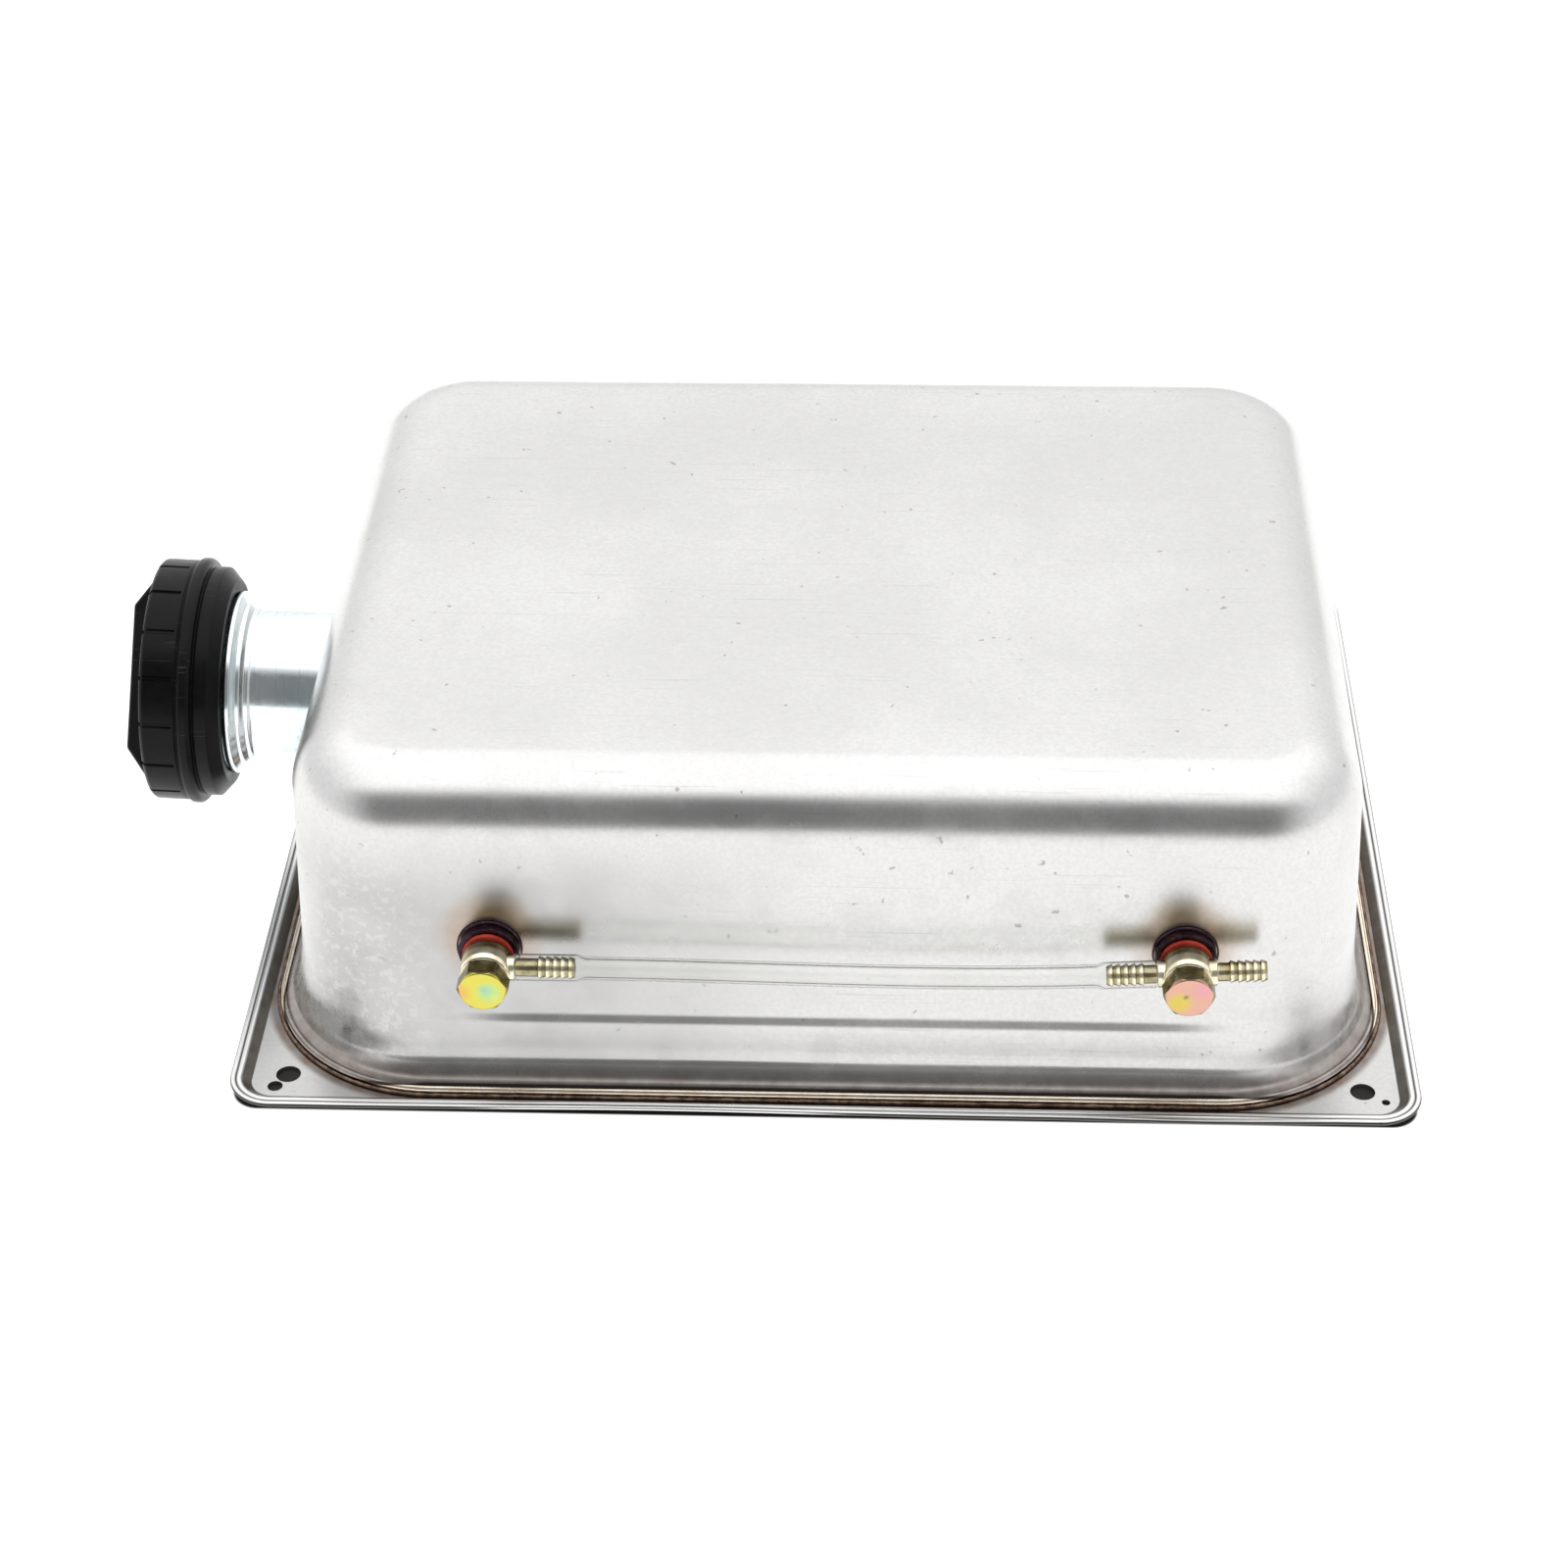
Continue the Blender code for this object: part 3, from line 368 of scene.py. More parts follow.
class Look:
    """One procedural material. Its methods add nodes and return their output sockets."""

    def __init__(self, name, **settings):
        self.material = bpy.data.materials.new(name)
        self.material.use_nodes = True
        self.tree = self.material.node_tree
        self.shader = self.tree.nodes["Principled BSDF"]
        for key, value in settings.items():
            self.shader.inputs[key.replace("_", " ")].default_value = value
        self.place = self.node("ShaderNodeTexCoord", {}).outputs["Object"]
        split = self.node("ShaderNodeSeparateXYZ", {0: self.place})
        self.x, self.y, self.z = split.outputs

    def node(self, kind, inputs, **settings):
        return add_node(self.tree, kind, inputs, **settings)

    def math(self, operation, *values):
        return self.node("ShaderNodeMath", dict(enumerate(values)), operation=operation).outputs[0]

    def times(self, first, second):
        return self.math("MULTIPLY", first, second)

    def noise(self, scale, detail=3.0, rough=0.5, stretch=None, turn=(0, 0, 0), distort=0.0):
        place = self.place
        if stretch:
            inputs = {"Vector": place, "Scale": stretch, "Rotation": turn}
            place = self.node("ShaderNodeMapping", inputs).outputs[0]
        inputs = {"Vector": place, "Scale": scale, "Detail": detail}
        inputs.update({"Roughness": rough, "Distortion": distort})
        return self.node("ShaderNodeTexNoise", inputs).outputs[0]

    def band(self, value, low, high, to_low=0.0, to_high=1.0):
        """A smooth step from to_low at low to to_high at high."""
        inputs = {"Value": value, "From Min": low, "From Max": high, "To Min": to_low, "To Max": to_high}
        return self.node("ShaderNodeMapRange", inputs, interpolation_type="SMOOTHSTEP").outputs[0]

    def mix(self, share, first, second):
        inputs = {0: share}
        for index, value in ((6, first), (7, second)):
            is_colour = isinstance(value, tuple)
            inputs[index] = (*value, 1.0) if is_colour else value
        return self.node("ShaderNodeMix", inputs, data_type="RGBA").outputs[2]

    def ramp(self, value, *stops):
        return add_ramp(self.tree, value, stops)

    def scratches(self, turn, width=1500.0, patch=24.0, low=0.655):
        """Sparse fine lines in patches."""
        lines = self.noise(1.0, 2.0, 0.5, (16.0, width, width), turn)
        patches = self.noise(patch, 2.0)
        return self.times(self.band(lines, low, low + 0.05), self.band(patches, 0.45, 0.62))

    def from_point(self, point):
        made = self.node("ShaderNodeVectorMath", {0: self.place, 1: point}, operation="DISTANCE")
        return made.outputs["Value"]

    def rectangle(self, half_length, half_depth, radius):
        """Distance outside a rounded rectangle round the Z axis, at any height."""
        spans = []
        for value, half in ((self.x, half_length), (self.y, half_depth)):
            past = self.math("SUBTRACT", self.math("ABSOLUTE", value), half - radius)
            spans.append(self.math("POWER", self.math("MAXIMUM", past, 0.0), 2.0))
        length = self.math("SQRT", self.math("ADD", *spans))
        return self.math("SUBTRACT", length, radius)

    def finish(self, colour, roughness, height=None, strength=0.2, distance=0.0002):
        self.tree.links.new(colour, self.shader.inputs["Base Color"])
        self.tree.links.new(roughness, self.shader.inputs["Roughness"])
        if height is not None:
            inputs = {"Height": height, "Strength": strength, "Distance": distance}
            bump = self.node("ShaderNodeBump", inputs)
            self.tree.links.new(bump.outputs[0], self.shader.inputs["Normal"])
        return self.material


def scaled(tint, factor):
    return tuple(min(1.0, channel * factor) for channel in tint)


def steel(name, tint, roughness):
    """Drawn stainless sheet: clouded, smudged, speckled and finely scratched."""
    look = Look(name, Metallic=1.0)
    cloud = look.noise(9.0, 5.0, 0.55)
    fleck = look.band(look.noise(260.0, 4.0, 0.7), 0.40, 0.66)
    smudge = look.band(look.noise(42.0, 5.0, 0.6, distort=0.6), 0.50, 0.72)
    mottle = look.band(look.noise(620.0, 3.0, 0.6), 0.34, 0.66)
    spots = look.band(look.noise(230.0, 2.0, 0.5), 0.715, 0.77)
    marks = look.scratches((0.3, 0.5, 0.9))
    marks = look.math("MAXIMUM", marks, look.scratches((1.2, 0.2, -0.7), 1100.0, 17.0))
    light = scaled(tint, 1.05)
    colour = look.mix(look.band(cloud, 0.36, 0.64), scaled(tint, 0.95), light)
    colour = look.mix(look.times(fleck, 0.30), colour, light)
    colour = look.mix(look.times(smudge, 0.16), colour, scaled(tint, 0.82))
    colour = look.mix(look.times(mottle, 0.55), colour, scaled(tint, 0.89))
    colour = look.mix(look.times(marks, 0.35), colour, scaled(tint, 0.62))
    colour = look.mix(look.times(spots, 0.55), colour, (0.20, 0.18, 0.15))
    rough = look.band(cloud, 0.3, 0.7, roughness - 0.03, roughness + 0.05)
    rough = look.math("ADD", rough, look.times(smudge, 0.06))
    grain = look.noise(2600.0, 2.0)
    height = look.math("ADD", look.times(grain, 0.25), look.times(marks, -0.6))
    return look, colour, rough, height


def scuffs_and_painted_shade(look, colour, rough):
    """The shell's scuffs at its ends, painted shade on the left part of its front, and a rubbed corner
    there with patches of painted shade standing for dents.
    """
    ends = look.band(look.math("ABSOLUTE", look.x), 0.138, 0.176)
    scuffs = look.times(ends, look.band(look.z, 0.118, 0.095))
    scuffs = look.times(scuffs, look.band(look.noise(260.0, 4.0, 0.7), 0.35, 0.65))
    colour = look.mix(look.times(scuffs, 0.35), colour, scaled(SHELL_TINT, 1.05))
    rough = look.math("ADD", rough, look.times(scuffs, 0.10))
    front = look.band(look.y, -0.118, -0.147)
    # Painted shade: the front's left part is darkened, standing for a dimmer reflection there.
    shade = look.times(look.band(look.x, 0.000, -0.088), front)
    shade = look.times(shade, look.band(look.z, 0.112, 0.078))
    shade = look.times(shade, look.band(look.noise(48.0, 4.0), 0.35, 0.65, 1.0, 0.72))
    colour = look.mix(shade, colour, scaled(SHELL_TINT, 0.71))
    corner = look.times(front, look.band(look.z, 0.114, 0.100))
    corner = look.times(look.band(look.x, -0.125, -0.160), corner)
    rubbed = look.band(look.noise(300.0, 4.0, 0.65), 0.50, 0.62)
    colour = look.mix(look.times(rubbed, look.times(corner, 0.45)), colour, SHELL_TINT)
    # Painted shade: dark patches on the corner stand for the shading of dents.
    dent_shade = look.band(look.noise(130.0, 5.0, 0.7, distort=1.4), 0.60, 0.68)
    dent_shade = look.times(dent_shade, look.times(corner, 0.5))
    colour = look.mix(dent_shade, colour, scaled(SHELL_TINT, 0.55))
    return colour, rough


def boss_tint(look, colour):
    """Brown heat tint on the wall round each boss."""
    cloud = look.band(look.noise(120.0, 3.0), 0.2, 0.7, 0.5, 0.85)
    for x, z in GAUGES.values():
        near = look.band(look.from_point((x, -0.1535, z + 0.004)), 0.022, BOSS_RADIUS)
        colour = look.mix(look.times(near, cloud), colour, (0.40, 0.30, 0.22))
    return colour


def shell_look():
    look, colour, rough, height = steel("satin_steel_shell", SHELL_TINT, 0.25)
    colour, rough = scuffs_and_painted_shade(look, colour, rough)
    colour = boss_tint(look, colour)
    blotch = look.noise(160.0, 3.0, 0.6)
    spread = look.rectangle(*skirt_size(0.0))
    # Painted reflection: the wall darkens to brown towards its foot, standing for the dark plate and its
    # shade reflected there.
    foot = look.times(look.band(look.z, 0.0128, 0.0056), look.band(blotch, 0.25, 0.8, 0.60, 0.88))
    colour = look.mix(foot, colour, (0.235, 0.190, 0.162))
    low = look.band(look.z, 0.0066, 0.0056)
    # Painted highlight: a bright golden line on the pressed lip at the wall's foot.
    lip = look.times(low, look.band(spread, 0.0090, 0.0094))
    lip_highlight_colour = look.ramp(blotch, (0.3, (0.80, 0.66, 0.50)), (0.7, (0.96, 0.90, 0.80)))
    colour = look.mix(lip, colour, lip_highlight_colour)
    # Painted shade: a dark line in the crease between the wall and the lip.
    crease = look.times(look.band(spread, 0.0082, 0.0087), look.band(spread, 0.0095, 0.0091))
    colour = look.mix(look.times(look.times(crease, low), 0.92), colour, (0.045, 0.032, 0.026))
    return look.finish(colour, rough, height, 0.12, 0.00006)


def plate_look():
    """Steel with a burnt track along the seam, painted shade on the rim's slope, in its crease and on its
    outer face, and painted highlights along its two raised ridges.
    """
    look, colour, rough, height = steel("satin_steel_plate", PLATE_TINT, 0.30)
    blotch = look.noise(170.0, 3.0)
    track = look.rectangle(*skirt_size(0.0120))
    near = look.times(look.band(track, 0.0052, 0.0022), look.band(blotch, 0.25, 0.75, 0.6, 1.0))
    burnt = look.ramp(blotch, (0.35, (0.085, 0.058, 0.048)), (0.65, (0.21, 0.145, 0.11)))
    colour = look.mix(near, colour, burnt)
    edge = look.rectangle(PLATE_LENGTH / 2, PLATE_DEPTH / 2, PLATE_CORNER)

    def strip(outer_low, outer_high, inner_low, inner_high):
        return look.times(look.band(edge, outer_low, outer_high), look.band(edge, inner_low, inner_high))

    # Painted shade on the rim's inner slope.
    slope = look.times(strip(-0.0077, -0.0073, -0.0041, -0.0046), look.band(blotch, 0.2, 0.8, 0.82, 0.97))
    colour = look.mix(slope, colour, (0.115, 0.104, 0.088))
    # Painted highlights on the rim's two raised ridges.
    inner_crest_highlight = strip(-0.0041, -0.0037, -0.0026, -0.0029)
    outer_crest_highlight = strip(-0.0019, -0.0016, -0.0004, -0.0008)
    crest_highlights = look.math("MAXIMUM", inner_crest_highlight, outer_crest_highlight)
    colour = look.mix(look.times(crest_highlights, 0.9), colour, (0.80, 0.80, 0.79))
    # Painted shade in the rim's crease, and a painted contact shadow on its outer face.
    fold_shade = strip(-0.00245, -0.00220, -0.00185, -0.00205)
    face = look.times(look.band(edge, -0.0009, -0.0005), look.band(look.z, 0.0041, 0.0038))
    colour = look.mix(look.times(look.math("MAXIMUM", fold_shade, face), 0.9), colour, (0.05, 0.046, 0.04))
    return look.finish(colour, rough, height, 0.12, 0.00006)


def boss_look():
    look = Look("oxidised_boss", Metallic=1.0)
    blotch = look.noise(420.0, 4.0, 0.6)
    colour = look.ramp(
        blotch,
        (0.30, (0.020, 0.016, 0.022)),
        (0.55, (0.055, 0.030, 0.045)),
        (0.75, (0.13, 0.075, 0.05)),
    )
    rough = look.band(blotch, 0.3, 0.7, 0.30, 0.46)
    return look.finish(colour, rough, blotch, 0.2, 0.0001)


def weld_look():
    look = Look("heat_tinted_weld", Metallic=1.0)
    blotch = look.noise(210.0, 4.0, 0.6)
    spots = look.band(look.noise(520.0, 2.0), 0.58, 0.70)
    colour = look.ramp(
        blotch,
        (0.25, (0.06, 0.040, 0.035)),
        (0.45, (0.15, 0.10, 0.075)),
        (0.60, (0.26, 0.18, 0.13)),
        (0.80, (0.40, 0.31, 0.23)),
    )
    colour = look.mix(look.times(spots, 0.8), colour, (0.06, 0.04, 0.04))
    rough = look.band(blotch, 0.3, 0.7, 0.50, 0.36)
    return look.finish(colour, rough, look.noise(700.0, 3.0), 0.35, 0.0002)


def blue_zinc_look():
    look = Look("blue_zinc", Metallic=1.0)
    cloud = look.noise(34.0, 4.0, 0.55)
    spangle = look.noise(420.0, 3.0, 0.6)
    colour = look.ramp(
        cloud,
        (0.30, (0.72, 0.82, 0.86)),
        (0.52, (0.86, 0.91, 0.92)),
        (0.75, (0.80, 0.87, 0.92)),
    )
    colour = look.mix(look.band(spangle, 0.52, 0.75, 0.0, 0.30), colour, (0.58, 0.68, 0.72))
    lines = look.noise(1.0, 2.0, 0.5, (1400.0, 40.0, 40.0))
    fine = look.band(lines, 0.56, 0.68)
    colour = look.mix(look.times(fine, 0.25), colour, (0.45, 0.52, 0.56))
    rough = look.band(spangle, 0.35, 0.65, 0.10, 0.19)
    height = look.math("ADD", look.times(spangle, 0.4), look.times(fine, 0.5))
    return look.finish(colour, rough, height, 0.12, 0.00005)


def strainer_look():
    look = Look("strainer_steel", Metallic=1.0)
    cloud = look.noise(130.0, 4.0, 0.6)
    colour = look.ramp(cloud, (0.3, (0.50, 0.49, 0.46)), (0.7, (0.72, 0.71, 0.68)))
    rough = look.band(cloud, 0.3, 0.7, 0.24, 0.40)
    return look.finish(colour, rough, look.noise(1800.0), 0.15, 0.00005)


def cap_look():
    look = Look("cap_plastic", Specular_IOR_Level=0.13)
    grain = look.noise(3800.0, 2.0, 0.6)
    cloud = look.noise(55.0, 4.0, 0.6)
    scuff = look.scratches((0.2, 0.9, 0.4), 1300.0, 60.0, 0.64)
    colour = look.mix(look.band(cloud, 0.3, 0.7), (0.0025, 0.0025, 0.003), (0.006, 0.006, 0.0065))
    colour = look.mix(look.times(scuff, 0.35), colour, (0.10, 0.10, 0.105))
    rough = look.band(cloud, 0.3, 0.7, 0.26, 0.38)
    height = look.math("ADD", grain, look.times(scuff, -0.8))
    return look.finish(colour, rough, height, 0.15, 0.00006)


def moulded_look(name, dark, light, rough_low, rough_high, **settings):
    """Plain moulded or stamped soft material with clouding and a fine grain."""
    look = Look(name, **settings)
    cloud = look.noise(160.0, 4.0, 0.6)
    grain = look.noise(2400.0, 2.0)
    colour = look.mix(look.band(cloud, 0.3, 0.7), dark, light)
    rough = look.band(cloud, 0.3, 0.7, rough_low, rough_high)
    return look.finish(colour, rough, grain, 0.25, 0.0001)


def barb_radius(look, side, axis_y):
    """Distance from the axis of that side's barbs."""
    slope = math.tan(RIGHT_TURN) if side == "right" else 0.0
    along = look.math("SUBTRACT", look.x, GAUGES[side][0])
    up = look.math("SUBTRACT", look.z, GAUGES[side][1])
    up = look.math("SUBTRACT", up, look.times(along, slope))
    out = look.math("SUBTRACT", look.y, axis_y)
    squares = look.math("ADD", look.times(up, up), look.times(out, out))
    return look.math("POWER", squares, 0.5)


def yellow_zinc_look(side, face_tone, patches):
    """Chromated zinc: champagne, with painted olive shade on the hex head's sides, the banjo ring's back
    half and between the barb ridges, and colours on the head's face.
    """
    look = Look("yellow_zinc_" + side, Metallic=1.0)
    cloud = look.noise(240.0, 3.0, 0.55)
    bright = look.ramp(
        cloud,
        (0.28, (0.66, 0.58, 0.34)),
        (0.50, (0.90, 0.84, 0.64)),
        (0.75, (0.95, 0.90, 0.76)),
    )
    # A shaded copy of the champagne, used below as painted shade.
    olive_shade = look.ramp(
        cloud,
        (0.30, (0.13, 0.105, 0.035)),
        (0.50, (0.24, 0.20, 0.085)),
        (0.75, (0.40, 0.34, 0.17)),
    )
    head_low, head_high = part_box(side + "_banjo_bolt")
    middle = (head_low + head_high) / 2
    face_y = head_low.y
    banjo_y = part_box(side + "_banjo")[0].y
    # Painted shade: olive on the hex head's sides, the banjo ring's back half and between the barb
    # ridges.
    facet_shade = look.band(look.y, face_y + 0.0072, face_y + 0.0066)
    hub = look.math("ABSOLUTE", look.math("SUBTRACT", look.x, middle.x))
    banjo_back_shade = look.band(look.y, banjo_y + 0.0048, banjo_y + 0.0060)
    banjo_back_shade = look.times(banjo_back_shade, look.band(hub, 0.0092, 0.0086))
    radius = barb_radius(look, side, banjo_y + BANJO_WIDTH / 2)
    groove_shade = look.band(radius, BARB_CREST - 0.0002, BARB_ROOT + 0.0002)
    groove_shade = look.times(groove_shade, look.band(hub, 0.0098, 0.0108))
    shaded = look.times(look.math("MAXIMUM", banjo_back_shade, groove_shade), 0.80)
    colour = look.mix(look.math("MAXIMUM", facet_shade, shaded), bright, olive_shade)
    tint = face_tone
    for across, above, size, patch in patches:
        reach = look.from_point((middle.x + across, face_y, middle.z + above))
        reach = look.math("ADD", reach, look.times(look.noise(420.0, 2.0), 0.0016))
        tint = look.mix(look.band(reach, size, size * 0.35), tint, patch)
    face = look.band(look.y, face_y + 0.0009, face_y + 0.0004)
    colour = look.mix(face, colour, tint)
    rough = look.band(cloud, 0.3, 0.7, 0.17, 0.27)
    return look.finish(colour, rough, look.noise(900.0, 3.0), 0.08, 0.00005)


def hose_look():
    look = Look("clear_hose", Transmission_Weight=1.0, IOR=1.24)
    cloud = look.noise(60.0, 3.0)
    colour = look.mix(look.band(cloud, 0.3, 0.7), (0.965, 0.970, 0.955), (0.99, 0.992, 0.985))
    rough = look.band(look.noise(300.0, 3.0), 0.35, 0.7, 0.015, 0.06)
    return look.finish(colour, rough, look.noise(35.0, 1.0), 0.1, 0.0001)


# ---- tank and base plate ----

def wall_size(height):
    """Half length, half depth and corner radius of the drafted wall's outside at a height."""
    share = (height - STEP_HEIGHT) / (SHOULDER_HEIGHT - STEP_HEIGHT)
    return [low + share * (high - low) for low, high in zip(STEP_SIZE, SHOULDER_SIZE)]


def skirt_size(spread):
    """The same below the step, spread outwards from it. The corners open out towards the foot."""
    past_end = max(0.0, spread - GROWTH_END)
    radius = STEP_SIZE[2] + 2.2 * (spread - past_end) + past_end
    return STEP_SIZE[0] + spread, STEP_SIZE[1] + spread, radius


def fade_to_corner(point):
    """1 along the middle of each wall, 0 at the corners, where the crease dies out."""
    along = abs(point.x - 0.006) / (STEP_SIZE[0] - 0.060)
    across = abs(point.y) / (STEP_SIZE[1] - 0.060)
    share = along if abs(point.y) / STEP_SIZE[1] > abs(point.x) / STEP_SIZE[0] else across
    t = min(1.0, max(0.0, (1.12 - share) / 0.20))
    return t * t * (3 - 2 * t)


def crease_rings():
    """Rings from the wall over the crease, which fades at the corners, down to the skirt's end."""
    top = STEP_HEIGHT + STEP_ROLL
    creased = [(0.0, top), (0.0003, STEP_HEIGHT + 0.0022), (0.0018, STEP_HEIGHT - 0.0012)]
    creased += [(0.0021, STEP_HEIGHT - 0.0030), (0.0022, 0.0205), (0.0023, 0.0170)]
    creased = soften(creased, 0.0011, 4, closed=False)
    rings = []
    for spread, height in creased:
        share = (top - height) / (top - 0.0170)
        plain = 0.0023 * (0.6 * share * share * (3 - 2 * share) + 0.4 * share)
        sharp = rounded_ring(*skirt_size(spread), height)
        soft = rounded_ring(*skirt_size(plain), height)
        rings.append([b.lerp(a, fade_to_corner(a)) for a, b in zip(sharp, soft)])
    return rings


def foot_rings():
    """Rings of the foot: a wide flare, a tight crease, a pressed lip, which gets a painted highlight, and
    the foot flange.
    """
    flare = [(0.0026, 0.0145), (0.0034, 0.0117), (0.0047, 0.0090), (0.0064, 0.0067), (0.0086, 0.0049)]
    lip = [(0.0090, 0.0040), (0.0095, 0.0044), (0.0103, 0.0043), (0.0108, FLANGE_TOP)]
    lip.append((FLANGE_SPREAD, FLANGE_TOP))
    outline = soften(flare, 0.0012, 3, closed=False) + soften(lip, 0.0003, 3, closed=False)
    return [rounded_ring(*skirt_size(spread), height) for spread, height in outline]


def shell_rings():
    top = [side - SHOULDER_ROUND for side in SHOULDER_SIZE]
    rings = []
    for step in range(10, 0, -1):
        inset = 0.012 * step
        corner = max(0.004, top[2] - inset * 0.25)
        corner = min(corner, top[1] - inset - 0.0005)
        rings.append(rounded_ring(top[0] - inset, top[1] - inset, corner, TANK_HEIGHT))
    for step in range(25):
        angle = math.pi / 2 * (1 - step / 24)
        size = [side - SHOULDER_ROUND * (1 - math.cos(angle)) for side in SHOULDER_SIZE]
        rings.append(rounded_ring(*size, SHOULDER_HEIGHT + SHOULDER_ROUND * math.sin(angle)))
    wall_end = STEP_HEIGHT + STEP_ROLL
    for step in range(1, 15):
        height = SHOULDER_HEIGHT + (wall_end - SHOULDER_HEIGHT) * step / 15
        rings.append(rounded_ring(*wall_size(height), height))
    return rings + crease_rings() + foot_rings()


def wave(point):
    """Depth of the hand-handled sheet's long shallow waves, always inwards."""
    slow = noise.noise(point * 13.0) + 0.5 * noise.noise(point * 31.0 + Vector((5, 3, 1)))
    return 0.00014 * (1.0 + slow)


def make_shell(look):
    bm = loft(shell_rings(), first_cap=True)
    bmesh.ops.recalc_face_normals(bm, faces=bm.faces)
    bm.normal_update()
    for vert, move in [(v, v.normal * wave(v.co)) for v in bm.verts if v.co.z > 0.012]:
        vert.co -= move
    bm = modified(bm, "SOLIDIFY", thickness=SHEET, offset=-1, use_even_offset=True)
    neck_hole = placed(rod(NECK_RADIUS + GAP, 0.15, 0.21, 96), FILLER)
    boss_holes = [placed(rod(0.0085, -0.02, 0.02, 48), gauge_space(side)) for side in ("left", "right")]
    bm = modified(bm, "BOOLEAN", joined([neck_hole] + boss_holes), operation="DIFFERENCE")
    show("tank_skin", bm, look, "tank_shell")


def make_plate():
    outline = [(0.00815, 0.0), (0.00505, 0.0024), (0.0006, 0.0024), (0.0, 0.0030), (0.0, 0.0036)]
    outline += [(0.0006, 0.0042), (0.0017, 0.0042), (0.00215, 0.0037), (0.0026, 0.0042)]
    outline += [(0.0038, 0.0042), (0.0044, 0.0038), (0.0074, PLATE_TOP)]
    rings = []
    for inset, height in soften(outline, 0.0005, 3, closed=False):
        corner = max(0.004, PLATE_CORNER - inset)
        points = rounded_ring(PLATE_LENGTH / 2 - inset, PLATE_DEPTH / 2 - inset, corner, height, 14)
        rings.append([bowed(point) for point in points])
    bm = loft(rings, first_cap=True, last_cap=True)
    holes = []
    for x, y, radius in BOLT_HOLES + JIG_HOLES:
        holes.append(placed(rod(radius, -0.01, 0.01, 40), Matrix.Translation((x, y, 0))))
    bm = modified(bm, "BOOLEAN", joined(holes), operation="DIFFERENCE")
    show("base_flange", bm, plate_look(), "base_plate")


def bowed(point):
    """The rim's front edge bows out a little near its right end, and in on its left half."""
    front = min(1.0, max(0.0, (-point.y - 0.1660) / 0.0060))
    right = min(1.0, max(0.0, (point.x - 0.080) / 0.110))
    left = min(1.0, max(0.0, (point.x + 0.175) / 0.235))
    inwards = 0.0013 * math.sin(math.pi * left) ** 2
    outwards = 0.0009 * math.sin(math.pi * right) ** 2
    point.y += (inwards - outwards) * front
    return point


def make_seam(weld):
    section = [(0.0115, 0.0018), (0.0127, 0.0018), (0.0125, 0.0026), (0.0120, 0.0031), (0.0115, 0.0029)]
    rings = []
    for spread, height in soften(section, 0.0003, 2):
        points = rounded_ring(*skirt_size(spread), height, 60, 90)
        lift = max(0.0, height - 0.0020) / 0.0011
        for index, point in enumerate(points):
            point.z -= lift * 0.00022 * (1 + math.sin(index * 2.1) * 0.6 + noise.noise(point * 300) * 0.4)
        rings.append(points)
    show("seam_bead", loft(rings, closed=True), weld, "seam_weld")


# ---- filler ----

def thread(low, high, start, end):
    """A helical thread between two radii, running out at both ends."""
    def shape(radius, height, angle):
        if not start < height < end or abs(radius - low) > 0.0002:
            return radius, height
        phase = ((height - start) / THREAD_LEAD - angle / math.tau) % 1.0
        rise = max(0.0, 1.0 - abs(phase - 0.5) * 3.2)
        fade = min(1.0, (height - start) / 0.0015, (end - height) / 0.0015)
        return radius + (high - low) * min(1.0, rise * 1.6) * max(0.0, fade), height
    return shape


def steps_between(radius, start, end, count):
    return [(radius, start + (end - start) * i / count) for i in range(count + 1)]


def make_neck(zinc):
    flare = (LIP_RADIUS - NECK_RADIUS) / 3
    outside = [
        (NECK_RADIUS, NECK_ROOT),
        (NECK_RADIUS, LIP_START - 2.6 * RIDGE_PITCH),
        (NECK_RADIUS + RIDGE_HEIGHT, LIP_START - 2.2 * RIDGE_PITCH),
        (NECK_RADIUS + RIDGE_HEIGHT / 2, LIP_START - 1.7 * RIDGE_PITCH),
        (NECK_RADIUS + flare + RIDGE_HEIGHT, LIP_START - 1.1 * RIDGE_PITCH),
        (NECK_RADIUS + flare + RIDGE_HEIGHT / 2, LIP_START - 0.6 * RIDGE_PITCH),
        (LIP_RADIUS - 0.0003, LIP_START),
        (LIP_RADIUS, LIP_START + 0.0005),
        (LIP_RADIUS, LIP_END - 0.0005),
        (LIP_RADIUS - 0.0003, LIP_END),
        (THREAD_ROOT, LIP_END + 0.0006),
    ]
    outside = soften(outside, 0.0007, 4, closed=False)
    threaded = steps_between(THREAD_ROOT, LIP_END + 0.0008, NECK_MOUTH - 0.0006, 56)
    rolled = [(THREAD_ROOT - 0.0006, NECK_MOUTH), (MOUTH_BORE + 0.0006, NECK_MOUTH)]
    inside = [(MOUTH_BORE, NECK_MOUTH - 0.0006), (MOUTH_BORE, LIP_START)]
    inside += [(NECK_BORE, LIP_START - 2.6 * RIDGE_PITCH), (NECK_BORE, NECK_ROOT)]
    profile = [*outside, *threaded, *rolled, *inside]
    bm = turned(profile, 128, thread(THREAD_ROOT, THREAD_CREST, LIP_END + 0.0012, NECK_MOUTH - 0.0006))
    show("filler_tube", placed(bm, FILLER), zinc, "filler_neck")


def weld_ring(inner_radius, back, leg, turns):
    """Rippled fillet bead, from the wall side outwards."""
    shape = [(0, 0), (1, 0), (0.75, 0.45), (0.45, 0.75), (0, 1)]
    profile = [(inner_radius + leg * out, back + leg * up) for out, up in shape]

    def ripple(radius, height, angle):
        share = (height - back) / leg
        return radius, height - share * leg * 0.07 * (1 + math.sin(angle * turns * 0.31))
    return turned(soften(profile, leg * 0.2, 2), turns, ripple)


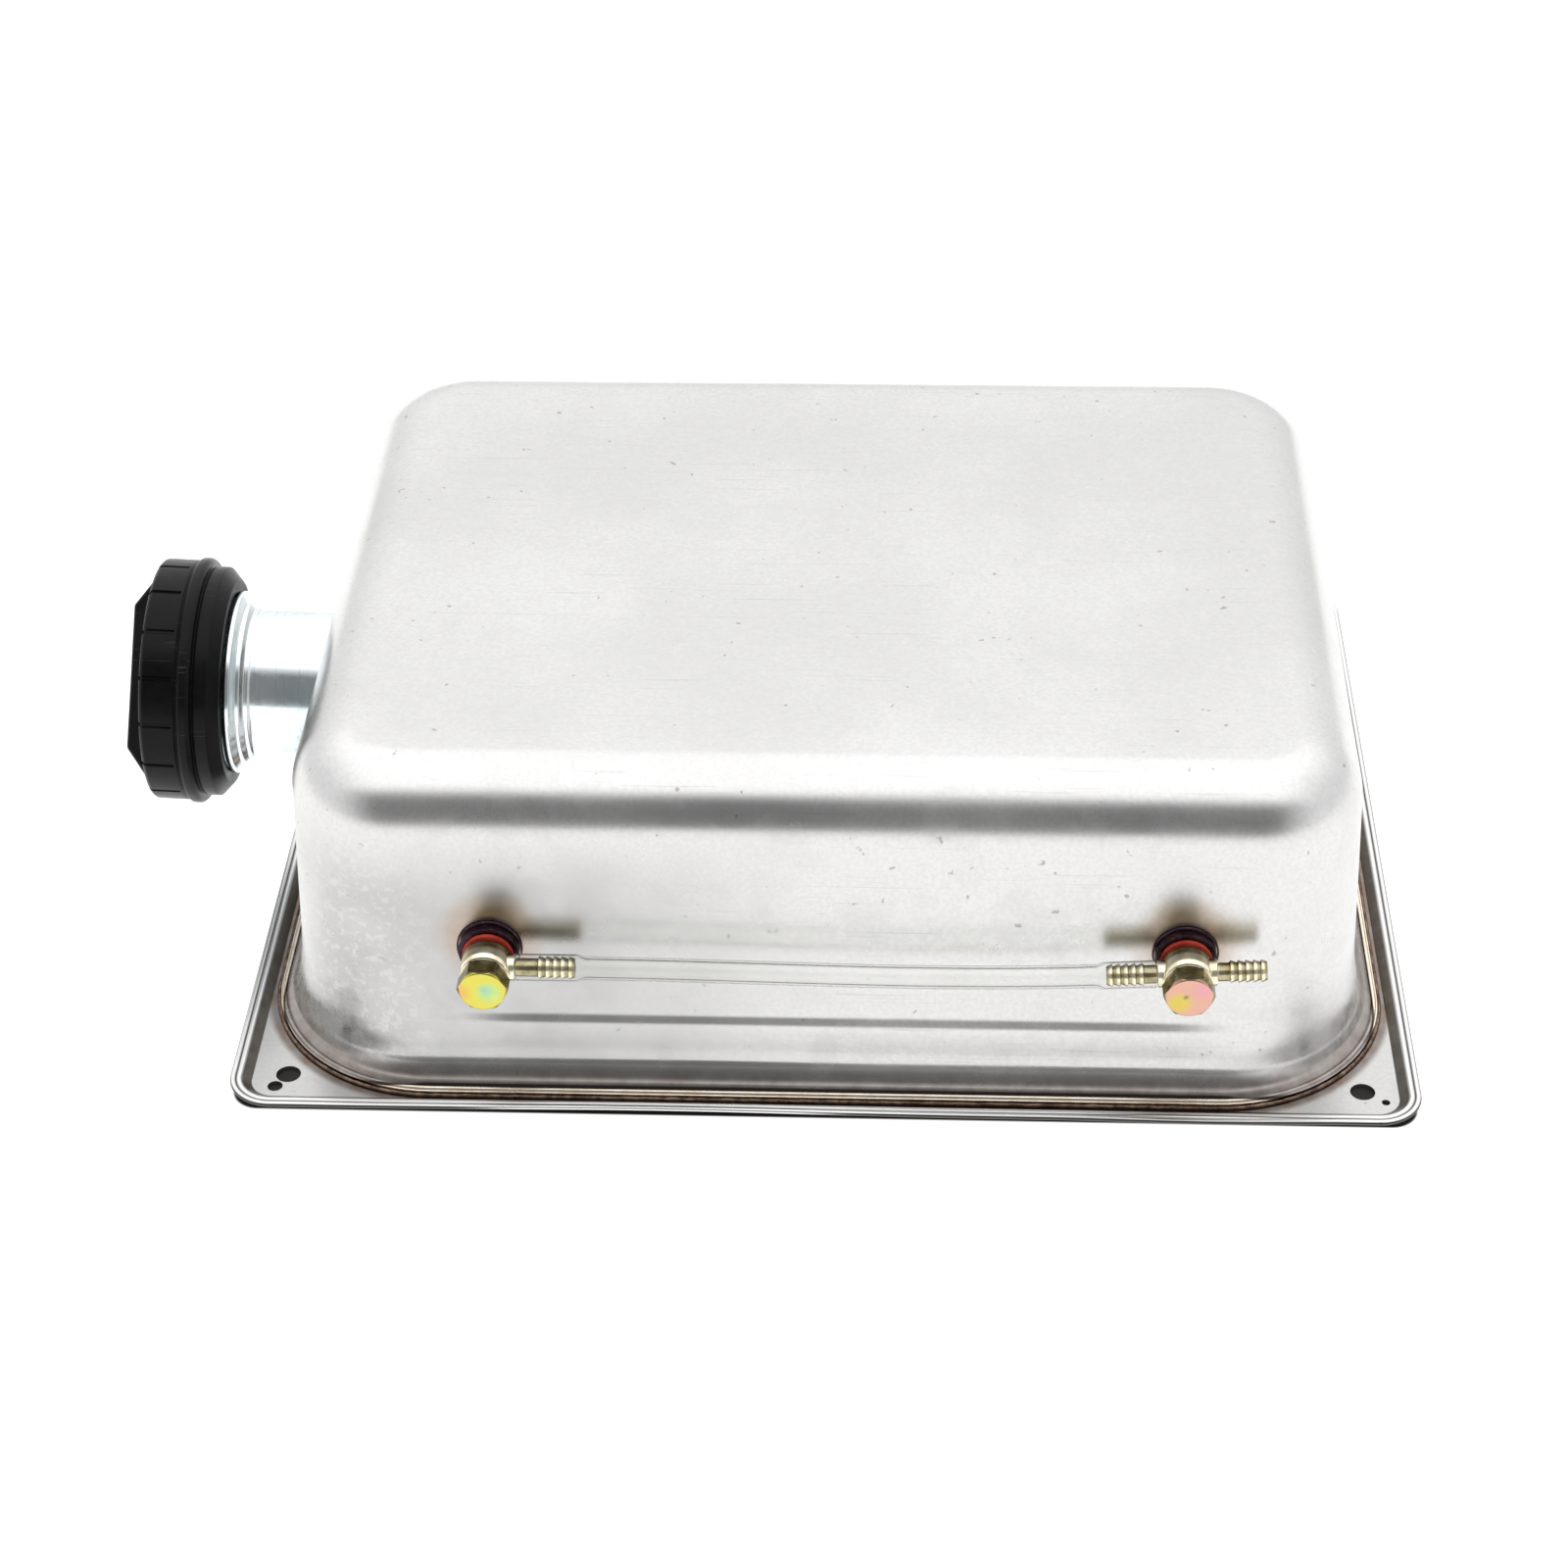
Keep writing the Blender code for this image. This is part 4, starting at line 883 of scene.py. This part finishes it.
def lean(bm):
    """Shears a gauge piece along local Z by its height on the front wall, which leans back."""
    for vert in bm.verts:
        vert.co.z -= front_slope() * vert.co.y
    return bm


def front_slope():
    return wall_size(0.0)[1] - wall_size(1.0)[1]


def perforated_cup(top, bottom, top_radius, bottom_radius, columns, rows):
    """Tapering cup whose wall is a sheet with a round hole in each cell."""
    def wall_point(column, row):
        share = row / (2 * rows)
        radius = top_radius + share * (bottom_radius - top_radius)
        angle = math.tau * column / (2 * columns)
        return radius * math.cos(angle), radius * math.sin(angle), top + share * (bottom - top)

    bm = bmesh.new()
    verts = {}
    for row in range(2 * rows + 1):
        for column in range(2 * columns):
            if row % 2 == 0 or column % 2 == 0:
                verts[column, row] = bm.verts.new(wall_point(column, row))
    around = [(1, 0), (1, 1), (0, 1), (-1, 1), (-1, 0), (-1, -1), (0, -1), (1, -1)]
    for row in range(1, 2 * rows, 2):
        for column in range(1, 2 * columns, 2):
            rim = [verts[(column + dx) % (2 * columns), row + dy] for dx, dy in around]
            hole = []
            for dx, dy in around:
                reach = 0.62 / math.hypot(dx, dy)
                hole.append(bm.verts.new(wall_point(column + dx * reach, row + dy * reach)))
            for i in range(8):
                j = (i + 1) % 8
                bm.faces.new((rim[i], rim[j], hole[j], hole[i]))
    bm.faces.new([verts[column, 2 * rows] for column in range(2 * columns)])
    return bm


def make_neck_weld(weld):
    wall = wall_size(FILLER_HEIGHT)[0] * math.cos(FILLER_CLIMB)
    bead = weld_ring(NECK_RADIUS + GAP, wall + GAP, NECK_WELD_LEG, 96)
    show("neck_bead", placed(bead, FILLER), weld, "neck_weld")


def make_strainer(zinc, steel_look):
    seat = NECK_MOUTH + GAP
    rim_end = seat + 0.0008
    collar_end = seat - COLLAR_DEPTH
    outline = [
        (COLLAR_BORE, collar_end), (COLLAR_RADIUS, collar_end),
        (COLLAR_RADIUS, seat), (RIM_RADIUS, seat),
        (RIM_RADIUS, rim_end), (COLLAR_BORE, rim_end),
    ]
    rim = turned(soften(outline, 0.0003), 96)
    show("strainer_flange", placed(rim, FILLER), zinc, "strainer_rim")
    cup = perforated_cup(NECK_MOUTH, STRAINER_BOTTOM, 0.0266, 0.0232, *STRAINER_HOLES)
    cup = modified(cup, "SOLIDIFY", thickness=0.0005, offset=-1, use_even_offset=True)
    show("strainer_cup", placed(cup, FILLER), steel_look, "strainer_basket")


def cap_angles():
    """Turns with extra ones at each axial groove's edges."""
    angles = []
    sector = math.tau / CAP_GROOVES
    half = 0.00070 / CAP_RADIUS
    for index in range(CAP_GROOVES):
        middle = (index + 0.5) * sector
        angles += [middle + sector * (step / 10 - 0.5) for step in range(5)]
        angles += [middle + half * share for share in (-1.35, -0.95, -0.6, 0.0, 0.6, 0.95, 1.35)]
        angles += [middle + sector * (step / 10) for step in range(1, 5)]
    return angles


def groove(radius, height, angle):
    """Sinks the cap's side where an axial groove runs, and threads its bore."""
    if radius < CAP_BORE + 0.0003:
        threaded = thread(CAP_BORE, CAP_THREAD_GROOVE, CAP_SKIRT_END + 0.0012, CAP_PLATE_START - 0.0030)
        return threaded(radius, height, angle)
    if radius < CAP_RADIUS - 0.0014 or height < GROOVE_END:
        return radius, height
    sector = math.tau / CAP_GROOVES
    from_middle = abs((angle / sector) % 1.0 - 0.5) * sector * CAP_RADIUS
    share = max(0.0, min(1.0, (0.00090 - from_middle) / 0.00035))
    return radius - GROOVE_DEPTH * share, height


def grip_bar():
    """Tapered bar across the cap's face, with sloping ends and rounded edges."""
    bm = bmesh.new()
    bmesh.ops.create_cube(bm, size=1.0)
    for vert in bm.verts:
        top = vert.co.z > 0
        length, width = GRIP_TOP if top else GRIP_BASE
        vert.co.x *= length
        vert.co.y *= width
        vert.co.z = CAP_FACE + (GRIP_HEIGHT if top else -GRIP_SUNK)
    raised = [edge for edge in bm.edges if max(v.co.z for v in edge.verts) > CAP_FACE]
    bmesh.ops.bevel(bm, geom=raised, offset=0.0013, segments=5, profile=0.5, affect="EDGES")
    return placed(bm, Matrix.Rotation(GRIP_LEAN, 4, "Z"))


def make_cap():
    inner_top = CAP_PLATE_START + 0.0015
    side = [
        (0.0370, CAP_FACE - FACE_SINK), (0.0390, CAP_FACE), (CAP_RADIUS - 0.0011, CAP_FACE),
        (CAP_RADIUS, CAP_FACE - 0.0013), (CAP_RADIUS, GROOVE_END + 0.0001),
        (CAP_RADIUS, GROOVE_END - 0.0001), (CAP_RADIUS, BEAD_START + 0.0006),
        (CAP_RADIUS - 0.0006, BEAD_START), (CAP_BEAD, BEAD_START - 0.0014),
        (CAP_BEAD, BEAD_END + 0.0016), (CAP_BEAD - 0.0010, BEAD_END + 0.0003),
        (CAP_SKIRT_RADIUS - 0.0004, BEAD_END), (CAP_SKIRT_RADIUS, BEAD_END - 0.0010),
        (CAP_SKIRT_RADIUS, CAP_SKIRT_END + 0.0040), (0.0389, CAP_SKIRT_END),
        (CAP_BORE + 0.0006, CAP_SKIRT_END),
    ]
    bore = steps_between(CAP_BORE, CAP_SKIRT_END + 0.0006, CAP_PLATE_START - 0.0026, 52)
    under = CAP_FACE - FACE_THICKNESS
    inside = [(0.0352, CAP_PLATE_START - 0.0012), (0.0352, inner_top), (POCKET_RADIUS, inner_top)]
    inside += [(POCKET_RADIUS - 0.0010, under), (0, under)]
    face = [(0, CAP_FACE - FACE_SINK)]
    profile = face + soften(side, 0.0005, 3, closed=False) + bore + inside
    bm = turned(profile, cap_angles(), groove)
    bm = modified(bm, "BOOLEAN", grip_bar(), operation="UNION")
    show("screw_cap", placed(bm, FILLER), cap_look(), "cap_shell", "cap")


def make_cap_inside(zinc, steel_look, rubber, pale_plastic):
    gasket = turned(ring(*GASKET, 0.0005), 96)
    show("mouth_gasket", placed(gasket, FILLER), rubber, "cap_gasket", "gasket")
    plate = turned(ring(VENT_HOLE, CAP_PLATE_RADIUS, CAP_PLATE_START, CAP_PLATE_END, 0.0003), 96)
    show("vent_plate", placed(plate, FILLER), zinc, "cap_plate", "cap_core")

    back = VENT_SEAT - 0.0013
    tip = back - 0.0045
    outline = [
        (0, VENT_SEAT), (VENT_DISC_RADIUS, VENT_SEAT), (VENT_DISC_RADIUS, back),
        (VENT_STEM_RADIUS, back), (VENT_STEM_RADIUS, tip), (0, tip),
    ]
    valve = turned(soften(outline, 0.0003, 3, closed=False), 48)
    show("vent_disc", placed(valve, FILLER), pale_plastic, "vent_valve", "vent")

    end = VENT_SEAT - CAGE_LENGTH
    flange, inner = VENT_SEAT - CAGE_WALL, CAGE_RADIUS - CAGE_WALL
    outline = [
        (CAGE_FLANGE, VENT_SEAT), (CAGE_FLANGE, flange), (CAGE_RADIUS, flange),
        (CAGE_RADIUS, end), (VENT_HOLE, end), (VENT_HOLE, end + CAGE_WALL),
        (inner, end + CAGE_WALL), (inner, VENT_SEAT),
    ]
    cage = turned(soften(outline, 0.0004), 64)
    show("vent_housing", placed(cage, FILLER), steel_look, "vent_cage", "cap_core")
    make_spring(steel_look, end + CAGE_WALL + GAP + SPRING_WIRE, back - GAP - SPRING_WIRE)


def make_spring(steel_look, start, end):
    """Round-wire coil between the cage and the vent disc."""
    count = SPRING_TURNS * 40
    spokes = [math.tau * index / 8 for index in range(8)]
    up = Vector((0, 0, SPRING_WIRE))
    rings = []
    for index in range(count + 1):
        angle = math.tau * index / 40
        out = Vector((math.cos(angle), math.sin(angle), 0))
        centre = out * SPRING_RADIUS + Vector((0, 0, start + (end - start) * index / count))
        rings.append([centre + out * SPRING_WIRE * math.cos(a) + up * math.sin(a) for a in spokes])
    bm = loft(rings, first_cap=True, last_cap=True)
    coil = show("vent_coil", placed(bm, FILLER), steel_look, "vent_spring", None)
    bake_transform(coil)


# ---- level gauge ----

def gauge_space(side):
    """Turns local +Z to -Y and local +Y to +Z, from where that side's axis meets the wall."""
    x, height = GAUGES[side]
    place = Matrix.Translation((x, -wall_size(height)[1], height))
    return place @ Matrix.Rotation(math.pi / 2, 4, "X")


def barb(reach):
    """Hose barb turned about Z, from inside the banjo ring to its bevelled tip."""
    points = [(0, BANJO_BORE + 0.0010), (BARB_COLLAR, BANJO_BORE + 0.0010)]
    points += [(BARB_COLLAR, BARB_COLLAR_END - 0.0004), (BARB_ROOT, BARB_COLLAR_END)]
    for ridge in reversed(range(BARB_RIDGES)):
        crest = reach - 0.0022 - ridge * BARB_PITCH
        points += [(BARB_ROOT, crest - 0.0004), (BARB_CREST, crest), (BARB_ROOT, crest + 0.0020)]
    points.append((0, reach - 0.0002))
    return turned(soften(points, 0.00018, 2, closed=False), 40)


def make_banjo(side, zinc, reaches, lift):
    middle = BANJO_START + BANJO_WIDTH / 2
    end = BANJO_START + BANJO_WIDTH
    face = BANJO_RADIUS - BANJO_CHAMFER
    outline = [
        (BANJO_BORE, BANJO_START), (face, BANJO_START),
        (BANJO_RADIUS, BANJO_START + 1.6 * BANJO_CHAMFER),
        (BANJO_RADIUS, end - 1.6 * BANJO_CHAMFER),
        (face, end), (BANJO_BORE, end),
    ]
    bm = turned(soften(outline, 0.0006), 72)
    turns = [Matrix.Rotation(way * math.pi / 2, 4, "Y") for way, _ in reaches]
    turns = [Matrix.Translation((0, 0, middle)) @ turn for turn in turns]
    for turn, (_, reach) in zip(turns, reaches):
        bm = modified(bm, "BOOLEAN", placed(barb(reach), turn), operation="UNION")
    for turn, (_, reach) in zip(turns, reaches):
        bore = placed(rod(BARB_BORE, BANJO_BORE - 0.0020, reach + 0.0020, 32), turn)
        bm = modified(bm, "BOOLEAN", bore, operation="DIFFERENCE")
    name = side + "_banjo"
    placed(bm, gauge_space(side) @ Matrix.Rotation(lift, 4, "Z"))
    show(name + "_ring", bm, zinc, name)


def make_bolt(side, zinc):
    """Hexagon head with a domed chamfer and a dimple, on a drilled shank."""
    corner = HEX_ACROSS_FLATS / math.sqrt(3)
    bm = turned([(0, HEAD_START), (corner, HEAD_START), (corner, HEAD_END), (0, HEAD_END)], 6)
    upright = [e for e in bm.edges if abs(e.verts[0].co.z - e.verts[1].co.z) > 0.001]
    bmesh.ops.bevel(bm, geom=upright, offset=0.0004, segments=3, profile=0.5, affect="EDGES")
    below, past = HEAD_START - 0.001, corner + 0.001
    dome = [(0, below), (past, below), (past, HEAD_END - 0.0015), (0.0086, HEAD_END - 0.0012)]
    dome += [(0.0077, HEAD_END - 0.0001), (0.0070, HEAD_END), (0.0022, HEAD_END)]
    dome += [(0.0014, HEAD_END - 0.0002), (0, HEAD_END - 0.0003)]
    dome = turned(soften(dome, 0.0003, 3, closed=False), 72)
    shank = rod(BOLT_RADIUS, BOLT_TIP, HEAD_START + 0.0020, 56)
    middle = BANJO_START + BANJO_WIDTH / 2
    across = Matrix.Translation((0, 0, middle)) @ Matrix.Rotation(math.pi / 2, 4, "Y")
    bore = rod(BOLT_BORE, BOLT_TIP - 0.0010, middle + 0.0015, 32)
    cross = placed(rod(BARB_BORE, -0.01, 0.01, 24), across)
    cuts = ((dome, "INTERSECT"), (shank, "UNION"), (bore, "DIFFERENCE"), (cross, "DIFFERENCE"))
    for other, operation in cuts:
        bm = modified(bm, "BOOLEAN", other, operation=operation)
    name = side + "_banjo_bolt"
    show(name + "_hex", placed(bm, gauge_space(side)), zinc, name)


def make_boss(side, oxidised):
    outline = [
        (BOSS_BORE, -SPIGOT_LENGTH), (SPIGOT_RADIUS, -SPIGOT_LENGTH),
        (SPIGOT_RADIUS, GAP), (BOSS_RADIUS, GAP),
        (BOSS_RADIUS, BOSS_FRONT), (BOSS_BORE, BOSS_FRONT),
    ]
    bm = turned(soften(outline, 0.0004), 64)
    for vert in bm.verts:
        at_back = -2 * GAP < vert.co.z < 0.0010
        if at_back and math.hypot(vert.co.x, vert.co.y) > SPIGOT_RADIUS - 0.0004:
            vert.co.z -= front_slope() * vert.co.y
    name = side + "_boss"
    show(name + "_bung", placed(bm, gauge_space(side)), oxidised, name)
    bead = lean(weld_ring(BOSS_RADIUS + GAP, GAP, 0.0007, 64))
    show(name + "_bead", placed(bead, gauge_space(side)), oxidised, name + "_weld")


def make_washers(side, fibre, zinc):
    space = gauge_space(side)
    inner = turned(ring(WASHER_BORE, 0.0089, 0.0039, 0.0054, 0.0003), 72)
    show(side + "_fibre_ring", placed(inner, space), fibre, side + "_inner_washer")
    outer = turned(ring(WASHER_BORE, 0.0084, 0.0162, 0.0174, 0.0002), 72)
    show(side + "_thin_ring", placed(outer, space), zinc, side + "_outer_washer")


def tube_line(x, start, end):
    """Height of the level tube's centre line and its slope at x. Its ends follow the barbs."""
    slope = math.tan(RIGHT_TURN)
    low = GAUGES["left"][1]
    right_x, right_height = GAUGES["right"]
    if x <= start:
        return low, 0.0
    if x >= end:
        return right_height + slope * (x - right_x), slope
    rise = right_height + slope * (end - right_x) - low
    span = end - start
    t = (x - start) / span
    height = low + rise * (3 * t ** 2 - 2 * t ** 3) + slope * span * (t ** 3 - t ** 2)
    return height, rise * (6 * t - 6 * t ** 2) / span + slope * (3 * t ** 2 - 2 * t)


def tube_outline(start, end):
    """Radius and x round the level tube's section, with a stretched sleeve over each barb."""
    left_end = GAUGES["left"][0] + BARB_COLLAR_END + GAP
    right_end = GAUGES["right"][0] - BARB_COLLAR_END - GAP
    sleeves = (left_end, start - TUBE_TAPER, end + TUBE_TAPER, right_end)
    steps = [start + (end - start) * index / 40 for index in range(41)]
    outside = [(SLEEVE_RADIUS, x) for x in sleeves]
    inside = [(SLEEVE_BORE, x) for x in reversed(sleeves)]
    outside[2:2] = [(TUBE_RADIUS, x) for x in steps]
    inside[2:2] = [(TUBE_BORE, x) for x in reversed(steps)]
    return outside + inside


def make_level_tube(look):
    start = GAUGES["left"][0] + LEFT_REACH + GAP + TUBE_TAPER
    end = GAUGES["right"][0] - RIGHT_REACH - GAP - TUBE_TAPER
    out = BANJO_START + BANJO_WIDTH / 2
    left_y, right_y = [-wall_size(height)[1] - out for _, height in GAUGES.values()]
    spokes = [math.tau * index / 48 for index in range(48)]
    rings = []
    for radius, x in soften(tube_outline(start, end), 0.0004, 3):
        height, slope = tube_line(x, start, end)
        share = min(1.0, max(0.0, (x - start) / (end - start)))
        y = left_y + share * (right_y - left_y)
        angle = math.atan(slope)
        up = Vector((-math.sin(angle), 0, math.cos(angle))) * radius
        points = [Vector((x, y + radius * math.cos(a), height)) + up * math.sin(a) for a in spokes]
        rings.append(points)
    show("level_hose", loft(rings, closed=True), look, "level_tube")


def make_gauge():
    oxidised = boss_look()
    fibre = moulded_look("red_fibre", (0.30, 0.020, 0.012), (0.56, 0.055, 0.025), 0.42, 0.62)
    left_zinc = yellow_zinc_look("left", (0.62, 0.56, 0.10), [
        (-0.0075, -0.0004, 0.0056, (0.66, 0.42, 0.12)),
        (0.0022, -0.0004, 0.0066, (0.42, 0.60, 0.24)),
        (0.0010, 0.0004, 0.0042, (0.34, 0.55, 0.34)),
        (0.0042, -0.0026, 0.0034, (0.56, 0.62, 0.18)),
    ])
    right_zinc = yellow_zinc_look("right", (0.62, 0.36, 0.28), [
        (-0.0034, -0.0022, 0.0066, (0.58, 0.47, 0.10)),
        (0.0046, 0.0034, 0.0052, (0.66, 0.32, 0.34)),
        (-0.0010, 0.0004, 0.0022, (0.26, 0.20, 0.10)),
    ])
    sides = (
        ("left", [(1, LEFT_REACH)], 0.0, left_zinc),
        ("right", [(-1, RIGHT_REACH), (1, OUTLET_REACH)], RIGHT_TURN, right_zinc),
    )
    for side, reaches, lift, zinc in sides:
        make_boss(side, oxidised)
        make_washers(side, fibre, zinc)
        make_banjo(side, zinc, reaches, lift)
        make_bolt(side, zinc)
    make_level_tube(hose_look())


# ---- studio ----

def make_camera():
    """The view that shows the front wall and the top, from 35 degrees above."""
    pitch, yaw, roll = (math.radians(angle) for angle in (35.46, -2.65, -0.77))
    level = Vector((math.sin(yaw), math.cos(yaw), 0)) * math.cos(pitch)
    ahead = level - Vector((0, 0, math.sin(pitch)))
    right = Vector((math.cos(yaw), -math.sin(yaw), 0))
    up = right.cross(ahead)
    across = math.cos(roll) * right + math.sin(roll) * up
    upright = -math.sin(roll) * right + math.cos(roll) * up
    camera = bpy.data.objects.new("camera", bpy.data.cameras.new("camera"))
    camera.data.sensor_width = 36
    camera.data.lens = 78.78
    aim = Matrix((across, upright, -ahead)).transposed().to_4x4()
    camera.matrix_world = Matrix.Translation((0.0307, -1.0797, 0.7918)) @ aim
    bpy.context.scene.collection.objects.link(camera)
    bpy.context.scene.camera = camera


def make_floor():
    """Pale and evenly lit, apart from a painted shadow under the base plate, where the floor is dark and
    does not glow.
    """
    look = Look("pale_floor", Specular_IOR_Level=0.1)
    look.shader.inputs["Emission Color"].default_value = (1, 1, 1, 1)
    # Painted shadow: the floor under the base plate is dark and does not glow.
    painted_shadow_area = look.rectangle(0.2085, 0.1700, 0.010)
    glow = look.band(painted_shadow_area, -0.0006, 0.0006, 0.0, 1.04)
    look.tree.links.new(glow, look.shader.inputs["Emission Strength"])
    reach = look.from_point((0, 0, 0))
    grain = look.noise(60.0, 3.0)
    pale = look.mix(look.band(grain, 0.3, 0.7), (0.30, 0.30, 0.30), (0.32, 0.32, 0.32))
    colour = look.mix(look.band(reach, 1.2, 2.4), pale, (0.12, 0.12, 0.12))
    colour = look.mix(look.band(painted_shadow_area, 0.0006, -0.0006), colour, (0.035, 0.033, 0.032))
    bm = bmesh.new()
    bmesh.ops.create_circle(bm, cap_ends=True, segments=96, radius=6.0)
    mesh = bpy.data.meshes.new("floor")
    bm.to_mesh(mesh)
    bm.free()
    mesh.materials.append(look.finish(colour, look.band(grain, 0.3, 0.7, 0.75, 0.85)))
    floor = bpy.data.objects.new("floor", mesh)
    floor.location.z = -0.0002
    bpy.context.scene.collection.objects.link(floor)


def make_world():
    """Soft studio: bright overhead, light behind and at the sides, dim in front above the horizon."""
    world = bpy.data.worlds.new("studio")
    world.use_nodes = True
    bpy.context.scene.world = world
    tree = world.node_tree

    def math_node(operation, *values):
        return add_node(tree, "ShaderNodeMath", dict(enumerate(values)), operation=operation).outputs[0]

    direction = tree.nodes.new("ShaderNodeTexCoord").outputs["Generated"]
    x, y, z = add_node(tree, "ShaderNodeSeparateXYZ", {0: direction}).outputs
    arc = math_node("ARCTAN2", z, math_node("MULTIPLY", y, -1.0))
    stops = [(0.0, 0.22), (0.05, 0.14), (0.26, 0.14), (0.31, 0.50)]
    stops += [(0.345, 1.0), (0.765, 1.0), (0.80, 0.78), (1.0, 0.62)]
    stops = [(position, (level, level, level * 1.01)) for position, level in stops]
    sky = add_ramp(tree, math_node("DIVIDE", arc, math.pi), stops)
    side = {0: math_node("ABSOLUTE", x), 1: 0.45, 2: 0.90, 3: 0.0, 4: 1.0}
    side = add_node(tree, "ShaderNodeMapRange", side).outputs[0]
    mixed = {0: side, 6: sky, 7: (0.62, 0.62, 0.63, 1.0)}
    mixed = add_node(tree, "ShaderNodeMix", mixed, data_type="RGBA")
    background = tree.nodes["Background"]
    tree.links.new(mixed.outputs[2], background.inputs["Color"])
    background.inputs["Strength"].default_value = 1.65


def main():
    zinc = blue_zinc_look()
    weld = weld_look()
    plain_steel = strainer_look()
    rubber = moulded_look("nitrile_rubber", (0.012, 0.012, 0.012), (0.030, 0.030, 0.031), 0.60, 0.80)
    pale = moulded_look("vent_plastic", (0.66, 0.63, 0.56), (0.78, 0.76, 0.70), 0.40, 0.55)
    make_shell(shell_look())
    make_plate()
    make_seam(weld)
    make_neck(zinc)
    make_neck_weld(weld)
    make_strainer(zinc, plain_steel)
    make_cap()
    make_cap_inside(zinc, plain_steel, rubber, pale)
    make_gauge()
    make_floor()
    make_world()
    make_camera()
    bpy.context.scene.view_settings.view_transform = "Standard"


main()
